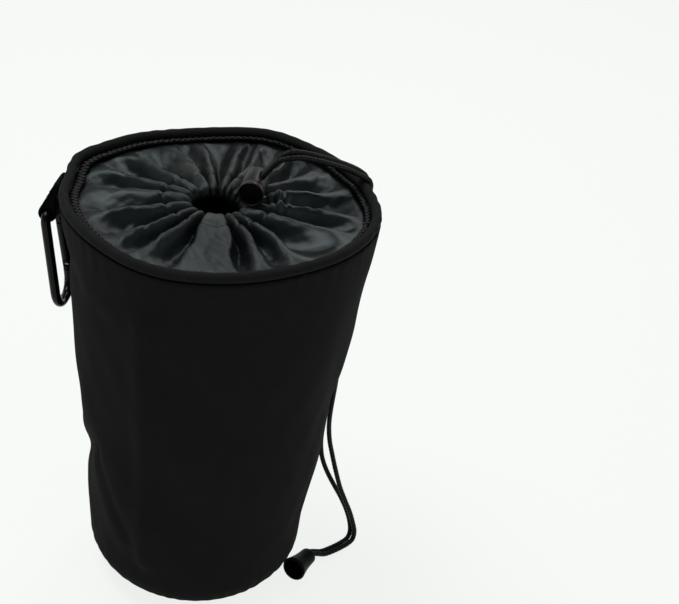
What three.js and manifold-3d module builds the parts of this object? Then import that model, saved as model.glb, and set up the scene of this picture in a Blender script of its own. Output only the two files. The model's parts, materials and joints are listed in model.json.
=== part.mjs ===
// Drawstring peg bag: a tapered cloth bag with a piped round mouth, a collar gathered by a drawcord with a
// barrel lock, and a webbing tab that carries a snap hook. Millimetres, +Z up, base centre at the origin.
import * as THREE from 'three';
import { mergeVertices } from 'three/addons/utils/BufferGeometryUtils.js';
import Module from 'manifold-3d';

const wasm = await Module();
wasm.setup();

const degrees = THREE.MathUtils.degToRad;
const lerp = THREE.MathUtils.lerp;

// Clearance between pieces that touch, and the extra between rings of unlike facets
const GAP = 0.3;
const FACET_SLACK = 0.2;

// Cloth body
const MOUTH_RADIUS = 80;
const RIM_HEIGHT = 240;
const BASE_RADIUS = 61.6;
const BOTTOM_ROUND = 26;
const WALL_CLOTH = 1.2;
const BASE_SEAM_ANGLE = degrees(52);
const TAPE_WIDTH = 9;
const TAPE_THICKNESS = 0.8;
const SIDE_SEAM_AZIMUTH = degrees(105);
const RING_SEGMENTS = 48;
const ROUND_STEPS = 4;

// Piped rim and the facing tape inside it
const BEAD_RADIUS = 2.6;
const COVER_CLOTH = 0.5;
const FLANGE_LENGTH = 10;
const FLANGE_SLIT = 0.4;
const BEAD_STEPS = 8;
const FACING_HEIGHT = 4.2;
const FACING_THICKNESS = 0.8;

// Gathered collar
const COLLAR_CLOTH = 0.9;
const PLEATS = 16;
const STEPS_PER_PLEAT = 4;
const PLEAT_DEPTH = 3.4;
const PLEAT_UNEVENNESS = 0.25;
const PLEAT_STATIONS = [0.2, 0.5, 0.85];
const COLLAR_DROP = 0.8;
const GATHER_X = -1.5;
const GATHER_Y = -5;
const GATHER_RADIUS = 16.5;
const HEM_WIDTH = 9;
const HEM_HEIGHT = 8.4;
const HEM_CENTRE_DROP = 6;
const HEM_SCALLOP = 0.7;

// Drawcord
const CORD_DIAMETER = 3;
const CORD_SIDES = 8;
const BORE_CLEARANCE = 0.5;
const LOOP_STEPS = 28;
const LOOP_POINTS = 14;
const LOOP_FROM = degrees(68);
const LOOP_TO = degrees(375);
const LOOP_END_DROP = 1.1;
const LOOP_LEAD = 1.2;
const LOOP_RISE = 1;
const LOOP_TURN = new THREE.Vector2(0.6, -1);

// Barrel cord lock, its axis along Y and its cord slot leaning over towards +X
const LOCK_RADIUS = 6.5;
const LOCK_FRONT = 12.4;
const LOCK_REAR = 7;
const LOCK_WALL = 2;
const LOCK_EDGE = 2.4;
const LOCK_LIP = 0.7;
const LOCK_BORE_RADIUS = 4.5;
const LOCK_LEAN = degrees(35);
const LOCK_X = 15.5;
const LOCK_Y = 5;
const LOCK_SEGMENTS = 24;
const PLUNGER_TRAVEL = 2.5;
const PLUNGER_PROTRUSION = 4;
const PLUNGER_EDGE = 1.5;
const PLUNGER_END_WALL = 1.8;
const LOCK_SPRING_RADIUS = 3.2;
const LOCK_SPRING_WIRE = 0.5;
const LOCK_SPRING_TURNS = 4;

// Cord end: a bell that hides the knot, lying on its side on the floor
const BELL_LENGTH = 18;
const BELL_NECK_RADIUS = 5;
const BELL_MOUTH_RADIUS = 7.4;
const BELL_WALL = 1.3;
const BELL_SHOULDER = 4;
const BELL_WAIST_RADIUS = 5.96;
const BELL_NECK_ROUND = 0.7;
const BELL_LIP = 0.5;
const BELL_SEGMENTS = 20;
const BELL_NECK = new THREE.Vector2(70, 1.6);
const BELL_HEADING = degrees(-114);
const KNOT_RADIUS = 2.3;
const KNOT_STRAND_RADIUS = 0.9;
const KNOT_STEPS = 40;
const KNOT_SIDES = 6;

// Webbing tab at the -X side, hanging outward from the rim seam
const TAB_WIDTH = 15;
const WEBBING = 1.5;
const TAB_LENGTH = 16.9;
const TAB_LEAN = degrees(16.2);
const TAB_Y = -4;
const TAB_SEAM_DROP = 5.8;
const TAB_STITCHED_LENGTH = 5;
const BAR_CLEARANCE = 0.8;

// Snap hook hanging in the tab's loop
const ROD_DIAMETER = 5;
const ROD_SIDES = 10;
const ROD_STEPS = 64;
const HOOK_LENGTH = 60;
const HOOK_LEAN = degrees(7);
const BAR_CORNER = 4.5;
const NOSE_FLARE = 2;
const SPINE_CORNER = 10.5;
const NOSE_CORNER = 9.5;
const GATE_TOP = 8.3;
const NOSE_REACH = 18;
const TONGUE_THICKNESS = 2;
const RIVET_DIAMETER = 2;
const RIVET_HEAD_RADIUS = 1.5;
const RIVET_CROWN_RADIUS = 1;
const RIVET_HEAD_HEIGHT = 0.4;
const LATCH_DIAMETER = 1.6;
const LATCH_SETBACK = 2.2;
const NOSE_SLOT_DEPTH = 6;
const PUSHER_DIAMETER = 2;
const PUSHER_LENGTH = 4.5;
const PUSHER_NOSE = 1;
const GATE_SPRING_LENGTH = 8.6;
const GATE_SPRING_WIRE = 0.4;
const GATE_SPRING_TURNS = 8;
const PIN_SEGMENTS = 12;
const EYE_RINGS = 8;

// Spring tubes: steps and sides of each turn
const TURN_STEPS = 8;
const WIRE_SIDES = 5;

// The two strands of the drawcord beyond the hem, side by side: up through the lock, over the rim, down
// behind the bag and along the floor to the cord end
const STRAND_A = [
  [11.31, 6.65, 239.72], [15.5, 6.65, 245.7], [18.94, 6.65, 250.61], [22.38, 6.65, 255.53],
  [25.25, 6.65, 259.63], [27.9, 7, 262.6], [31.5, 8.2, 264.4], [36.2, 11.2, 263.9],
  [41.4, 15.2, 261.9], [46.6, 19.7, 259.2], [51.9, 25, 256], [57.2, 30.7, 252.3],
  [62.2, 35.9, 248.5], [66.3, 39.7, 245], [69.3, 41.9, 241.7], [70.4, 42.3, 238],
  [70.3, 43.1, 231], [69.4, 45, 222], [68.8, 46.1, 195],
  [68.6, 46.1, 150], [67.6, 46.1, 105], [65.8, 45.8, 72], [65.9, 45, 58],
  [67.8, 43.8, 48], [70.8, 42, 41.5], [74.4, 40, 36.2], [78.3, 38.2, 31.2],
  [83.3, 36.4, 24.5], [88, 34.7, 16.5], [91.2, 32.6, 9], [92.3, 29.9, 4],
  [91.4, 26.6, 1.7], [87.7, 21, 1.6], [82, 15, 1.6], [76.6, 10.2, 2],
  [72.6, 7.6, 3.5], [69.7, 5, 4.9], [68.49, 2.27, 5.26], [66.94, -1.2, 5.77],
];
const STRAND_B = [
  [11.31, 3.35, 239.72], [15.5, 3.35, 245.7], [18.94, 3.35, 250.61], [22.38, 3.35, 255.53],
  [25.25, 3.35, 259.63], [28.5, 3.7, 262], [33.3, 5.8, 262.8], [38.2, 9, 262.2],
  [43.4, 13, 260.2], [48.6, 17.5, 257.6], [53.9, 22.8, 254.4], [59.2, 28.5, 250.7],
  [64.2, 33.2, 246.9], [68.4, 37, 243.6], [71.6, 38.9, 240.9], [72.7, 39.1, 238],
  [72.1, 40.3, 231], [71.2, 42.2, 222], [70.6, 43.3, 195],
  [70.4, 43.3, 150], [69.5, 43.2, 105], [69.2, 42, 76], [71, 39.8, 65],
  [74, 37.4, 56], [77.9, 34.6, 45.5], [82, 32.4, 35.4], [86.4, 31.2, 26.6],
  [90, 30.6, 19.5], [93, 29.8, 12], [95, 28, 5.8], [94.6, 25.4, 2.3],
  [92.7, 22.2, 1.6], [90.3, 19, 1.6], [84.6, 13, 1.6], [79.4, 8.4, 2],
  [75.6, 5.9, 3.5], [72.73, 3.67, 4.9], [71.51, 0.93, 5.26], [69.96, -2.54, 5.77],
];

// Finishes
const wallCloth = { color: 0x1c1c1d, roughness: 0.9, metalness: 0 };
const trimCloth = { color: 0x141415, roughness: 0.85, metalness: 0 };
const collarNylon = { color: 0x3a3f45, roughness: 0.45, metalness: 0 };
const cordBraid = { color: 0x18181a, roughness: 0.8, metalness: 0 };
const lockPlastic = { color: 0x3b3c3c, roughness: 0.55, metalness: 0 };
const endPlastic = { color: 0x161617, roughness: 0.5, metalness: 0 };
const blackMetal = { color: 0x121214, roughness: 0.25, metalness: 0.6 };
const bareSteel = { color: 0x8c8f92, roughness: 0.35, metalness: 0.9 };

const bag = new THREE.Group();

// One closed body with merged corners and its faces pointing out
function closed(geometry) {
  const bare = geometry.clone();
  bare.deleteAttribute('normal');
  bare.deleteAttribute('uv');
  const merged = mergeVertices(bare, 1e-4);
  const corners = [new THREE.Vector3(), new THREE.Vector3(), new THREE.Vector3()];
  const place = merged.getAttribute('position');
  const kept = [];
  let volume = 0;
  for (let i = 0; i < merged.index.count; i += 3) {
    const face = [merged.index.getX(i), merged.index.getX(i + 1), merged.index.getX(i + 2)];
    if (new Set(face).size < 3) continue;
    corners.forEach((corner, k) => corner.fromBufferAttribute(place, face[k]));
    volume += corners[0].dot(corners[1].clone().cross(corners[2]));
    kept.push(face);
  }
  const order = volume < 0 ? kept.map(([a, b, c]) => [a, c, b]) : kept;
  merged.setIndex(order.flat());
  merged.computeVertexNormals();
  return merged;
}

function solid(geometry) {
  const body = closed(geometry);
  const vertProperties = new Float32Array(body.getAttribute('position').array);
  const triVerts = new Uint32Array(body.index.array);
  return new wasm.Manifold(new wasm.Mesh({ numProp: 3, vertProperties, triVerts }));
}

function surface(manifold) {
  const mesh = manifold.getMesh();
  const geometry = new THREE.BufferGeometry();
  geometry.setAttribute('position', new THREE.BufferAttribute(mesh.vertProperties, 3));
  geometry.setIndex(new THREE.BufferAttribute(mesh.triVerts, 1));
  return geometry;
}

function cut(geometry, ...tools) {
  return surface(tools.reduce((body, tool) => body.subtract(solid(tool)), solid(geometry)));
}

function fuse(geometry, ...others) {
  return surface(others.reduce((body, other) => body.add(solid(other)), solid(geometry)));
}

function add(parent, name, geometry, finish) {
  const mesh = new THREE.Mesh(closed(geometry), new THREE.MeshStandardMaterial(finish));
  mesh.name = name;
  parent.add(mesh);
  return mesh;
}

// A profile of [radius, height] pairs turned about +Z
function turned(profile, segments = RING_SEGMENTS) {
  const points = profile.map(([radius, height]) => new THREE.Vector2(radius, height));
  return new THREE.LatheGeometry(points, segments).rotateX(Math.PI / 2);
}

function ring(profile, segments = RING_SEGMENTS) {
  return turned([...profile, profile[0]], segments);
}

function pin(radius, length, segments = PIN_SEGMENTS) {
  return new THREE.CylinderGeometry(radius, radius, length, segments);
}

function polygon(radius, sides) {
  const points = Array.from({ length: sides }, (_, i) => {
    const angle = (2 * Math.PI * i) / sides;
    return new THREE.Vector2(radius * Math.cos(angle), radius * Math.sin(angle));
  });
  return new THREE.Shape(points);
}

function tube(path, radius, sides, steps) {
  const options = { extrudePath: path, steps, bevelEnabled: false };
  return new THREE.ExtrudeGeometry(polygon(radius, sides), options);
}

// A smooth route whose steps fall on its own points
class Route extends THREE.CatmullRomCurve3 {
  getPointAt(u, target) {
    return this.getPoint(u, target);
  }

  getTangentAt(u, target) {
    return this.getTangent(u, target);
  }
}

class Helix extends THREE.Curve {
  constructor(radius, height, turns) {
    super();
    Object.assign(this, { radius, height, turns });
  }

  getPoint(t, target = new THREE.Vector3()) {
    const angle = 2 * Math.PI * this.turns * t;
    return target.set(this.radius * Math.cos(angle), this.radius * Math.sin(angle), this.height * t);
  }
}

// A flat outline drawn in the YZ plane
class PlanarCurve extends THREE.Curve {
  constructor(outline) {
    super();
    this.outline = outline;
  }

  getPoint(t, target = new THREE.Vector3()) {
    const point = this.outline.getPointAt(t);
    return target.set(0, point.x, point.y);
  }
}

// A wound wire and its least gap to itself, measured on points from neighbouring turns
function spring(name, { radius, wire, length, turns }) {
  const helix = new Helix(radius, length - wire, turns);
  const steps = turns * TURN_STEPS;
  const points = helix.getPoints(steps);
  let least = Infinity;
  for (let i = 0; i <= steps; i += 1) {
    for (let j = i + TURN_STEPS / 2; j <= steps; j += 1) {
      least = Math.min(least, points[i].distanceTo(points[j]) - wire);
    }
  }
  console.log(`${name} least gap to itself ${least.toFixed(2)} mm`);
  return tube(helix, wire / 2, WIRE_SIDES, steps).translate(0, 0, wire / 2);
}

function arcPoints(centre, radius, from, to, steps) {
  return Array.from({ length: steps + 1 }, (_, i) => {
    const angle = lerp(from, to, i / steps);
    return [centre[0] + radius * Math.cos(angle), centre[1] + radius * Math.sin(angle)];
  });
}

// Section of the bag: a straight wall that runs down, tangent to the rounded bottom
const beadHeight = RIM_HEIGHT - BEAD_RADIUS;
const wallTop = RIM_HEIGHT - 2 * BEAD_RADIUS - GAP;
const flatRadius = BASE_RADIUS - BOTTOM_ROUND;
const roundCentre = [flatRadius, BOTTOM_ROUND];
const mouthFromCentre = new THREE.Vector2(MOUTH_RADIUS - flatRadius, wallTop - BOTTOM_ROUND);
const tangentAngle = mouthFromCentre.angle() - Math.acos(BOTTOM_ROUND / mouthFromCentre.length());
const wallSlope = Math.tan(-tangentAngle);
const wallTilt = Math.cos(tangentAngle);
const seamStep = GAP / BOTTOM_ROUND;

function wallRadius(height, depth = 0) {
  return MOUTH_RADIUS - (wallTop - height) * wallSlope - depth / wallTilt;
}

function roundedBottom(depth, from, to, steps) {
  return arcPoints(roundCentre, BOTTOM_ROUND - depth, from, to, steps);
}

const wallSection = [
  [wallRadius(wallTop), wallTop],
  ...roundedBottom(0, tangentAngle, -BASE_SEAM_ANGLE, ROUND_STEPS),
  ...roundedBottom(WALL_CLOTH, -BASE_SEAM_ANGLE, tangentAngle, ROUND_STEPS),
  [wallRadius(wallTop, WALL_CLOTH), wallTop],
];
add(bag, 'side_wall', ring(wallSection), wallCloth);

const baseSection = [
  [0, 0],
  ...roundedBottom(0, -Math.PI / 2, -BASE_SEAM_ANGLE - seamStep, ROUND_STEPS - 1),
  ...roundedBottom(WALL_CLOTH, -BASE_SEAM_ANGLE - seamStep, -Math.PI / 2, ROUND_STEPS - 1),
  [0, WALL_CLOTH],
];
add(bag, 'base_panel', turned(baseSection), wallCloth);

// Tapes sewn over the raw seams inside: round the base, and down the side seam at the back
const tapeDepth = WALL_CLOTH + GAP + FACET_SLACK;
const tapeHalfAngle = TAPE_WIDTH / 2 / (BOTTOM_ROUND - tapeDepth);
const tapeFrom = -BASE_SEAM_ANGLE - tapeHalfAngle;
const tapeTo = -BASE_SEAM_ANGLE + tapeHalfAngle;
const baseTapeSection = [
  ...roundedBottom(tapeDepth, tapeFrom, tapeTo, 2),
  ...roundedBottom(tapeDepth + TAPE_THICKNESS, tapeTo, tapeFrom, 2),
];
add(bag, 'base_seam_binding', ring(baseTapeSection), trimCloth);

const flangeBottom = RIM_HEIGHT - 2 * BEAD_RADIUS - FLANGE_LENGTH;
const sideTapeBottom = BOTTOM_ROUND;
const sideTapeTop = flangeBottom - GAP;
const sideTapeLength = (sideTapeTop - sideTapeBottom) / wallTilt;
const sideTapeMiddle = (sideTapeTop + sideTapeBottom) / 2;
const wallFlatInset = MOUTH_RADIUS * (1 - Math.cos(Math.PI / RING_SEGMENTS));
const sideTapeDepth = WALL_CLOTH + GAP + wallFlatInset + TAPE_THICKNESS / 2;
const sideTape = new THREE.BoxGeometry(TAPE_THICKNESS, TAPE_WIDTH, sideTapeLength);
sideTape.rotateY(-tangentAngle);
sideTape.translate(wallRadius(sideTapeMiddle, sideTapeDepth), 0, sideTapeMiddle);
add(bag, 'side_seam_binding', sideTape, trimCloth).rotation.z = SIDE_SEAM_AZIMUTH;

// Piping: a cord in a folded strip, whose two flanges hang inside the wall
const flangeOuterDepth = WALL_CLOTH + GAP;
const slitDepth = flangeOuterDepth + COVER_CLOTH;
const flangeInnerDepth = slitDepth + FLANGE_SLIT + COVER_CLOTH;
const beadCentre = [MOUTH_RADIUS - slitDepth - FLANGE_SLIT / 2, beadHeight];
const boreRadius = BEAD_RADIUS - COVER_CLOTH;
const coreRadius = boreRadius - GAP;

function beadArc(radius, halfOpening, direction) {
  const sweep = direction * (Math.PI - Math.asin(halfOpening / radius));
  return arcPoints(beadCentre, radius, Math.PI / 2 - sweep, Math.PI / 2 + sweep, BEAD_STEPS);
}

const coverSection = [
  [wallRadius(flangeBottom, flangeOuterDepth), flangeBottom],
  ...beadArc(BEAD_RADIUS, FLANGE_SLIT / 2 + COVER_CLOTH, 1),
  [wallRadius(flangeBottom, flangeInnerDepth), flangeBottom],
  [wallRadius(flangeBottom, flangeInnerDepth - COVER_CLOTH), flangeBottom],
  ...beadArc(boreRadius, FLANGE_SLIT / 2, -1),
  [wallRadius(flangeBottom, slitDepth), flangeBottom],
];
add(bag, 'rim_piping_cover', ring(coverSection), trimCloth);

const coreSection = arcPoints(beadCentre, coreRadius, 0, 2 * Math.PI, BEAD_STEPS).slice(0, BEAD_STEPS);
add(bag, 'rim_piping_core', ring(coreSection), cordBraid);

// Collar: its skirt is sewn between the piping flange and the facing tape, then it turns in under the tape
const skirtDepth = flangeInnerDepth + GAP + FACET_SLACK;
const facingDepth = skirtDepth + COLLAR_CLOTH + GAP + FACET_SLACK;
const facingTop = wallTop;
const facingBottom = facingTop - FACING_HEIGHT;
const facingSection = [
  [wallRadius(facingTop, facingDepth), facingTop],
  [wallRadius(facingBottom, facingDepth), facingBottom],
  [wallRadius(facingBottom, facingDepth + FACING_THICKNESS), facingBottom],
  [wallRadius(facingTop, facingDepth + FACING_THICKNESS), facingTop],
];
add(bag, 'rim_facing_tape', ring(facingSection), trimCloth);

const collarEdge = facingBottom - COLLAR_DROP;
const hemHeight = RIM_HEIGHT - HEM_CENTRE_DROP;
const hemOuterRadius = GATHER_RADIUS + HEM_WIDTH / 2;
const hemInnerRadius = GATHER_RADIUS - HEM_WIDTH / 2;
const hemShoulder = HEM_WIDTH / 4;
const gather = new THREE.Vector3(GATHER_X, GATHER_Y, hemHeight);

function collarSection(angle) {
  const wave = Math.cos(PLEATS * angle) * (1 + PLEAT_UNEVENNESS * Math.sin(3 * angle + 1));
  const hemWave = HEM_SCALLOP * Math.cos(PLEATS * angle);
  const half = HEM_HEIGHT / 2;
  const at = (radius, height, share) => new THREE.Vector3(
    GATHER_X * share + radius * Math.cos(angle),
    GATHER_Y * share + radius * Math.sin(angle),
    height,
  );
  const skirt = wallRadius(collarEdge, skirtDepth);
  const pleats = PLEAT_STATIONS.map((share) => {
    const height = lerp(collarEdge, hemHeight, Math.sin((share * Math.PI) / 2)) + wave * PLEAT_DEPTH * share;
    return { radius: lerp(skirt, hemOuterRadius, share), height, share };
  });
  const under = pleats.map(({ radius, height, share }) => at(radius, height - COLLAR_CLOTH, share));
  const over = pleats.map(({ radius, height, share }) => at(radius, height, share));
  return [
    at(wallRadius(wallTop, skirtDepth), wallTop, 0),
    at(skirt, collarEdge - COLLAR_CLOTH, 0),
    ...under,
    at(hemOuterRadius - hemShoulder, hemHeight - half + hemWave, 1),
    at(hemInnerRadius + hemShoulder, hemHeight - half + hemWave, 1),
    at(hemInnerRadius, hemHeight, 1),
    at(hemInnerRadius + hemShoulder, hemHeight + half + hemWave, 1),
    at(hemOuterRadius - hemShoulder, hemHeight + half + hemWave, 1),
    ...over.reverse(),
    at(wallRadius(collarEdge, skirtDepth + COLLAR_CLOTH), collarEdge, 0),
    at(wallRadius(wallTop, skirtDepth + COLLAR_CLOTH), wallTop, 0),
  ];
}

function pleatedRing() {
  const columns = PLEATS * STEPS_PER_PLEAT;
  const sections = Array.from({ length: columns }, (_, i) => collarSection((2 * Math.PI * i) / columns));
  const rows = sections[0].length;
  const index = [];
  for (let i = 0; i < columns; i += 1) {
    for (let j = 0; j < rows; j += 1) {
      const here = i * rows;
      const next = ((i + 1) % columns) * rows;
      const after = (j + 1) % rows;
      index.push(here + j, next + j, next + after, here + j, next + after, here + after);
    }
  }
  return new THREE.BufferGeometry().setFromPoints(sections.flat()).setIndex(index);
}

// Lock frame: it rests on the hem, with the two strands side by side along the barrel
const hemTop = hemHeight + HEM_HEIGHT / 2 + HEM_SCALLOP;
const lockCentre = new THREE.Vector3(LOCK_X, LOCK_Y, hemTop + GAP + LOCK_RADIUS);
const cordDirection = new THREE.Vector3(Math.sin(LOCK_LEAN), 0, Math.cos(LOCK_LEAN));
const cordRadius = CORD_DIAMETER / 2;
const strandOffset = cordRadius + GAP / 2;
const strandSide = new THREE.Vector3(0, strandOffset, 0);
const strandsHalf = strandOffset + cordRadius + GAP;

function strandPoint(side, travel) {
  return lockCentre.clone().addScaledVector(strandSide, side).addScaledVector(cordDirection, travel);
}

// Drawcord in the hem: a loop whose two ends turn up through the hem to the lock
const loopEnd = -LOCK_RADIUS - LOOP_END_DROP;
const hemLoop = Array.from({ length: LOOP_POINTS }, (_, i) => {
  const angle = lerp(LOOP_FROM, LOOP_TO, i / (LOOP_POINTS - 1));
  return new THREE.Vector3(Math.cos(angle), Math.sin(angle), 0).multiplyScalar(GATHER_RADIUS).add(gather);
});
const rising = strandPoint(-1, loopEnd);
rising.set(rising.x + LOOP_TURN.x, rising.y + LOOP_TURN.y, hemHeight + LOOP_RISE);
const loopPath = new THREE.CatmullRomCurve3([
  strandPoint(1, loopEnd),
  strandPoint(1, loopEnd - LOOP_LEAD),
  ...hemLoop,
  rising,
  strandPoint(-1, loopEnd - LOOP_LEAD),
  strandPoint(-1, loopEnd),
]);

const hemBore = tube(loopPath, cordRadius + BORE_CLEARANCE, CORD_SIDES, LOOP_STEPS);
add(bag, 'gathered_collar', cut(pleatedRing(), hemBore), collarNylon);
add(bag, 'drawcord_loop', tube(loopPath, cordRadius, CORD_SIDES, LOOP_STEPS), cordBraid);

function tail(name, points) {
  const route = new Route(points.map((point) => new THREE.Vector3(...point)));
  add(bag, name, tube(route, cordRadius, CORD_SIDES, points.length - 1), cordBraid);
}
tail('drawcord_tail_a', STRAND_A);
tail('drawcord_tail_b', STRAND_B);

// Barrel lock: a blind barrel with a cross slot, a sprung plunger and the two strands through both
const lock = new THREE.Group();
lock.position.copy(lockCentre);
lock.rotation.y = LOCK_LEAN;
bag.add(lock);

const slotRadius = cordRadius + GAP;

function cordSlot(from, to) {
  const shape = new THREE.Shape();
  shape.absarc(0, from + slotRadius, slotRadius, Math.PI, 2 * Math.PI);
  shape.absarc(0, to - slotRadius, slotRadius, 0, Math.PI);
  const depth = 4 * LOCK_RADIUS;
  const slot = new THREE.ExtrudeGeometry(shape, { depth, bevelEnabled: false, curveSegments: 5 });
  return slot.translate(0, 0, -depth / 2);
}

const boreEnd = -LOCK_FRONT + LOCK_WALL;
const frontEdge = arcPoints([LOCK_RADIUS - LOCK_EDGE, LOCK_EDGE - LOCK_FRONT], LOCK_EDGE, -Math.PI / 2, 0, 3);
const barrelSection = [
  [0, -LOCK_FRONT],
  ...frontEdge,
  [LOCK_RADIUS, LOCK_REAR - LOCK_LIP],
  [LOCK_RADIUS - LOCK_LIP, LOCK_REAR],
  [LOCK_BORE_RADIUS, LOCK_REAR],
  [LOCK_BORE_RADIUS, boreEnd],
  [0, boreEnd],
];
const alongBarrel = (geometry) => geometry.rotateX(-Math.PI / 2);
const barrel = alongBarrel(turned(barrelSection, LOCK_SEGMENTS));
add(lock, 'lock_barrel', cut(barrel, cordSlot(-strandsHalf, strandsHalf)), lockPlastic);

const plungerRadius = LOCK_BORE_RADIUS - GAP;
const plungerInner = -strandsHalf - PLUNGER_END_WALL;
const plungerOuter = LOCK_REAR + PLUNGER_PROTRUSION;
const buttonEdge = arcPoints(
  [plungerRadius - PLUNGER_EDGE, plungerOuter - PLUNGER_EDGE], PLUNGER_EDGE, 0, Math.PI / 2, 3,
);
const plungerSection = [[0, plungerInner], [plungerRadius, plungerInner], ...buttonEdge, [0, plungerOuter]];
const plunger = alongBarrel(turned(plungerSection, LOCK_SEGMENTS));
add(lock, 'lock_plunger', cut(plunger, cordSlot(-strandsHalf, strandsHalf + PLUNGER_TRAVEL)), lockPlastic);

const lockSpring = spring('lock_spring', {
  radius: LOCK_SPRING_RADIUS,
  wire: LOCK_SPRING_WIRE,
  length: plungerInner - boreEnd - 2 * GAP,
  turns: LOCK_SPRING_TURNS,
});
add(lock, 'lock_spring', alongBarrel(lockSpring).translate(0, boreEnd + GAP, 0), bareSteel);

// Cord end: the bell lies with its flare on the floor, over the knot that holds it on the strands
const bell = new THREE.Group();
const bellTilt = Math.asin((BELL_MOUTH_RADIUS - BELL_NECK_RADIUS) / BELL_LENGTH);
bell.position.set(BELL_NECK.x, BELL_NECK.y, BELL_NECK_RADIUS * Math.cos(bellTilt) + GAP);
bell.rotation.order = 'ZYX';
bell.rotation.z = BELL_HEADING;
bell.rotation.y = Math.PI / 2 - bellTilt;
bag.add(bell);

const bellSection = [
  [BELL_NECK_RADIUS - BELL_NECK_ROUND, 0],
  [BELL_NECK_RADIUS, BELL_NECK_ROUND],
  [BELL_WAIST_RADIUS, BELL_LENGTH / 2],
  [BELL_MOUTH_RADIUS, BELL_LENGTH - BELL_LIP],
  [BELL_MOUTH_RADIUS - BELL_LIP, BELL_LENGTH],
  [BELL_MOUTH_RADIUS - BELL_WALL, BELL_LENGTH],
  [BELL_WAIST_RADIUS - BELL_WALL, BELL_LENGTH / 2],
  [BELL_WAIST_RADIUS - BELL_WALL, BELL_SHOULDER],
  [strandsHalf, BELL_SHOULDER],
  [strandsHalf, 0],
];
add(bell, 'cord_end_bell', ring(bellSection, BELL_SEGMENTS), endPlastic);

const knot = new THREE.TorusKnotGeometry(KNOT_RADIUS, KNOT_STRAND_RADIUS, KNOT_STEPS, KNOT_SIDES);
const knotReach = KNOT_RADIUS / 2 + KNOT_STRAND_RADIUS;
knot.translate(0, 0, BELL_SHOULDER + GAP + knotReach);
add(bell, 'cord_end_knot', knot, cordBraid);

// Webbing tab: two layers sewn together near the rim, opening into a loop round the hook's bar
const barSpace = ROD_DIAMETER / 2 + BAR_CLEARANCE;
const loopOuter = barSpace + WEBBING;
const rootHalf = WEBBING + GAP / 2;
const seamHeight = RIM_HEIGHT - TAB_SEAM_DROP;
const tab = new THREE.Group();
tab.position.set(-(wallRadius(seamHeight) + GAP + rootHalf), TAB_Y, seamHeight);
tab.rotation.y = TAB_LEAN;
bag.add(tab);

// Outline of the loop seen along the rim: x across the layers, y down the tab from the seam
function tabOutline() {
  const flare = Math.asin((loopOuter - rootHalf) / (TAB_LENGTH - TAB_STITCHED_LENGTH));
  const outer = new THREE.Shape();
  outer.absarc(0, 0, rootHalf, 0, Math.PI);
  outer.lineTo(-rootHalf, -TAB_STITCHED_LENGTH);
  outer.absarc(0, -TAB_LENGTH, loopOuter, Math.PI - flare, 2 * Math.PI + flare);
  outer.lineTo(rootHalf, -TAB_STITCHED_LENGTH);
  const inner = new THREE.Path();
  inner.absarc(0, -TAB_LENGTH, barSpace, flare, -Math.PI - flare, true);
  inner.lineTo(0, -TAB_STITCHED_LENGTH - WEBBING);
  outer.holes.push(inner);
  return outer;
}

const tabOptions = { depth: TAB_WIDTH, bevelEnabled: false, curveSegments: 10 };
const webbing = new THREE.ExtrudeGeometry(tabOutline(), tabOptions);
webbing.translate(0, 0, -TAB_WIDTH / 2).rotateX(Math.PI / 2);
add(tab, 'tab_webbing', webbing, trimCloth);

// Snap hook in its own plane: y across, z up from the bar; the spine is on the -Y side, the gate on +Y
const hook = new THREE.Group();
hook.position.copy(new THREE.Vector3(0, 0, -TAB_LENGTH).applyAxisAngle(new THREE.Vector3(0, 1, 0), TAB_LEAN));
hook.position.add(tab.position);
hook.rotation.y = -HOOK_LEAN;
bag.add(hook);

const rodRadius = ROD_DIAMETER / 2;
const barHalf = TAB_WIDTH / 2 + GAP + FACET_SLACK + rodRadius;
const noseY = barHalf + NOSE_FLARE;
const noseZ = -(HOOK_LENGTH - ROD_DIAMETER);
const rivetZ = -GATE_TOP - rodRadius;
const rodEndZ = -GATE_TOP + GAP;
const gateEnd = HOOK_LENGTH - NOSE_REACH;
const noseEndZ = -gateEnd - 2 * GAP;
const gateTilt = Math.atan2(NOSE_FLARE, gateEnd + rivetZ);
const gateLength = (gateEnd + rivetZ) / Math.cos(gateTilt);

function hookOutline() {
  const path = new THREE.Path();
  path.moveTo(barHalf, rodEndZ);
  path.lineTo(barHalf, -BAR_CORNER);
  path.absarc(barHalf - BAR_CORNER, -BAR_CORNER, BAR_CORNER, 0, Math.PI / 2);
  path.lineTo(BAR_CORNER - barHalf, 0);
  path.absarc(BAR_CORNER - barHalf, -BAR_CORNER, BAR_CORNER, Math.PI / 2, Math.PI);
  path.lineTo(-barHalf, noseZ + SPINE_CORNER);
  path.absarc(SPINE_CORNER - barHalf, noseZ + SPINE_CORNER, SPINE_CORNER, Math.PI, 1.5 * Math.PI);
  path.lineTo(noseY - NOSE_CORNER, noseZ);
  path.absarc(noseY - NOSE_CORNER, noseZ + NOSE_CORNER, NOSE_CORNER, -Math.PI / 2, 0);
  path.lineTo(noseY, noseEndZ);
  return path;
}

// A flat tongue in the hook's plane, from the rod's end to a round tip
function tongue(y, fromZ, tipZ, radius) {
  const shape = new THREE.Shape();
  const rise = Math.sign(tipZ - fromZ);
  shape.moveTo(y - radius, fromZ);
  shape.lineTo(y - radius, tipZ);
  shape.absarc(y, tipZ, radius, Math.PI, 0, rise > 0);
  shape.lineTo(y + radius, fromZ);
  return acrossHook(shape, TONGUE_THICKNESS);
}

// A shape drawn in the hook's plane, made as thick as given across it
function acrossHook(shape, thickness) {
  const options = { depth: thickness, bevelEnabled: false, curveSegments: 8 };
  const plate = new THREE.ExtrudeGeometry(shape, options).translate(0, 0, -thickness / 2);
  return plate.rotateY(Math.PI / 2).rotateX(Math.PI / 2);
}

function crossPin(radius, length, y, z) {
  return pin(radius, length).rotateZ(Math.PI / 2).translate(0, y, z);
}

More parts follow.
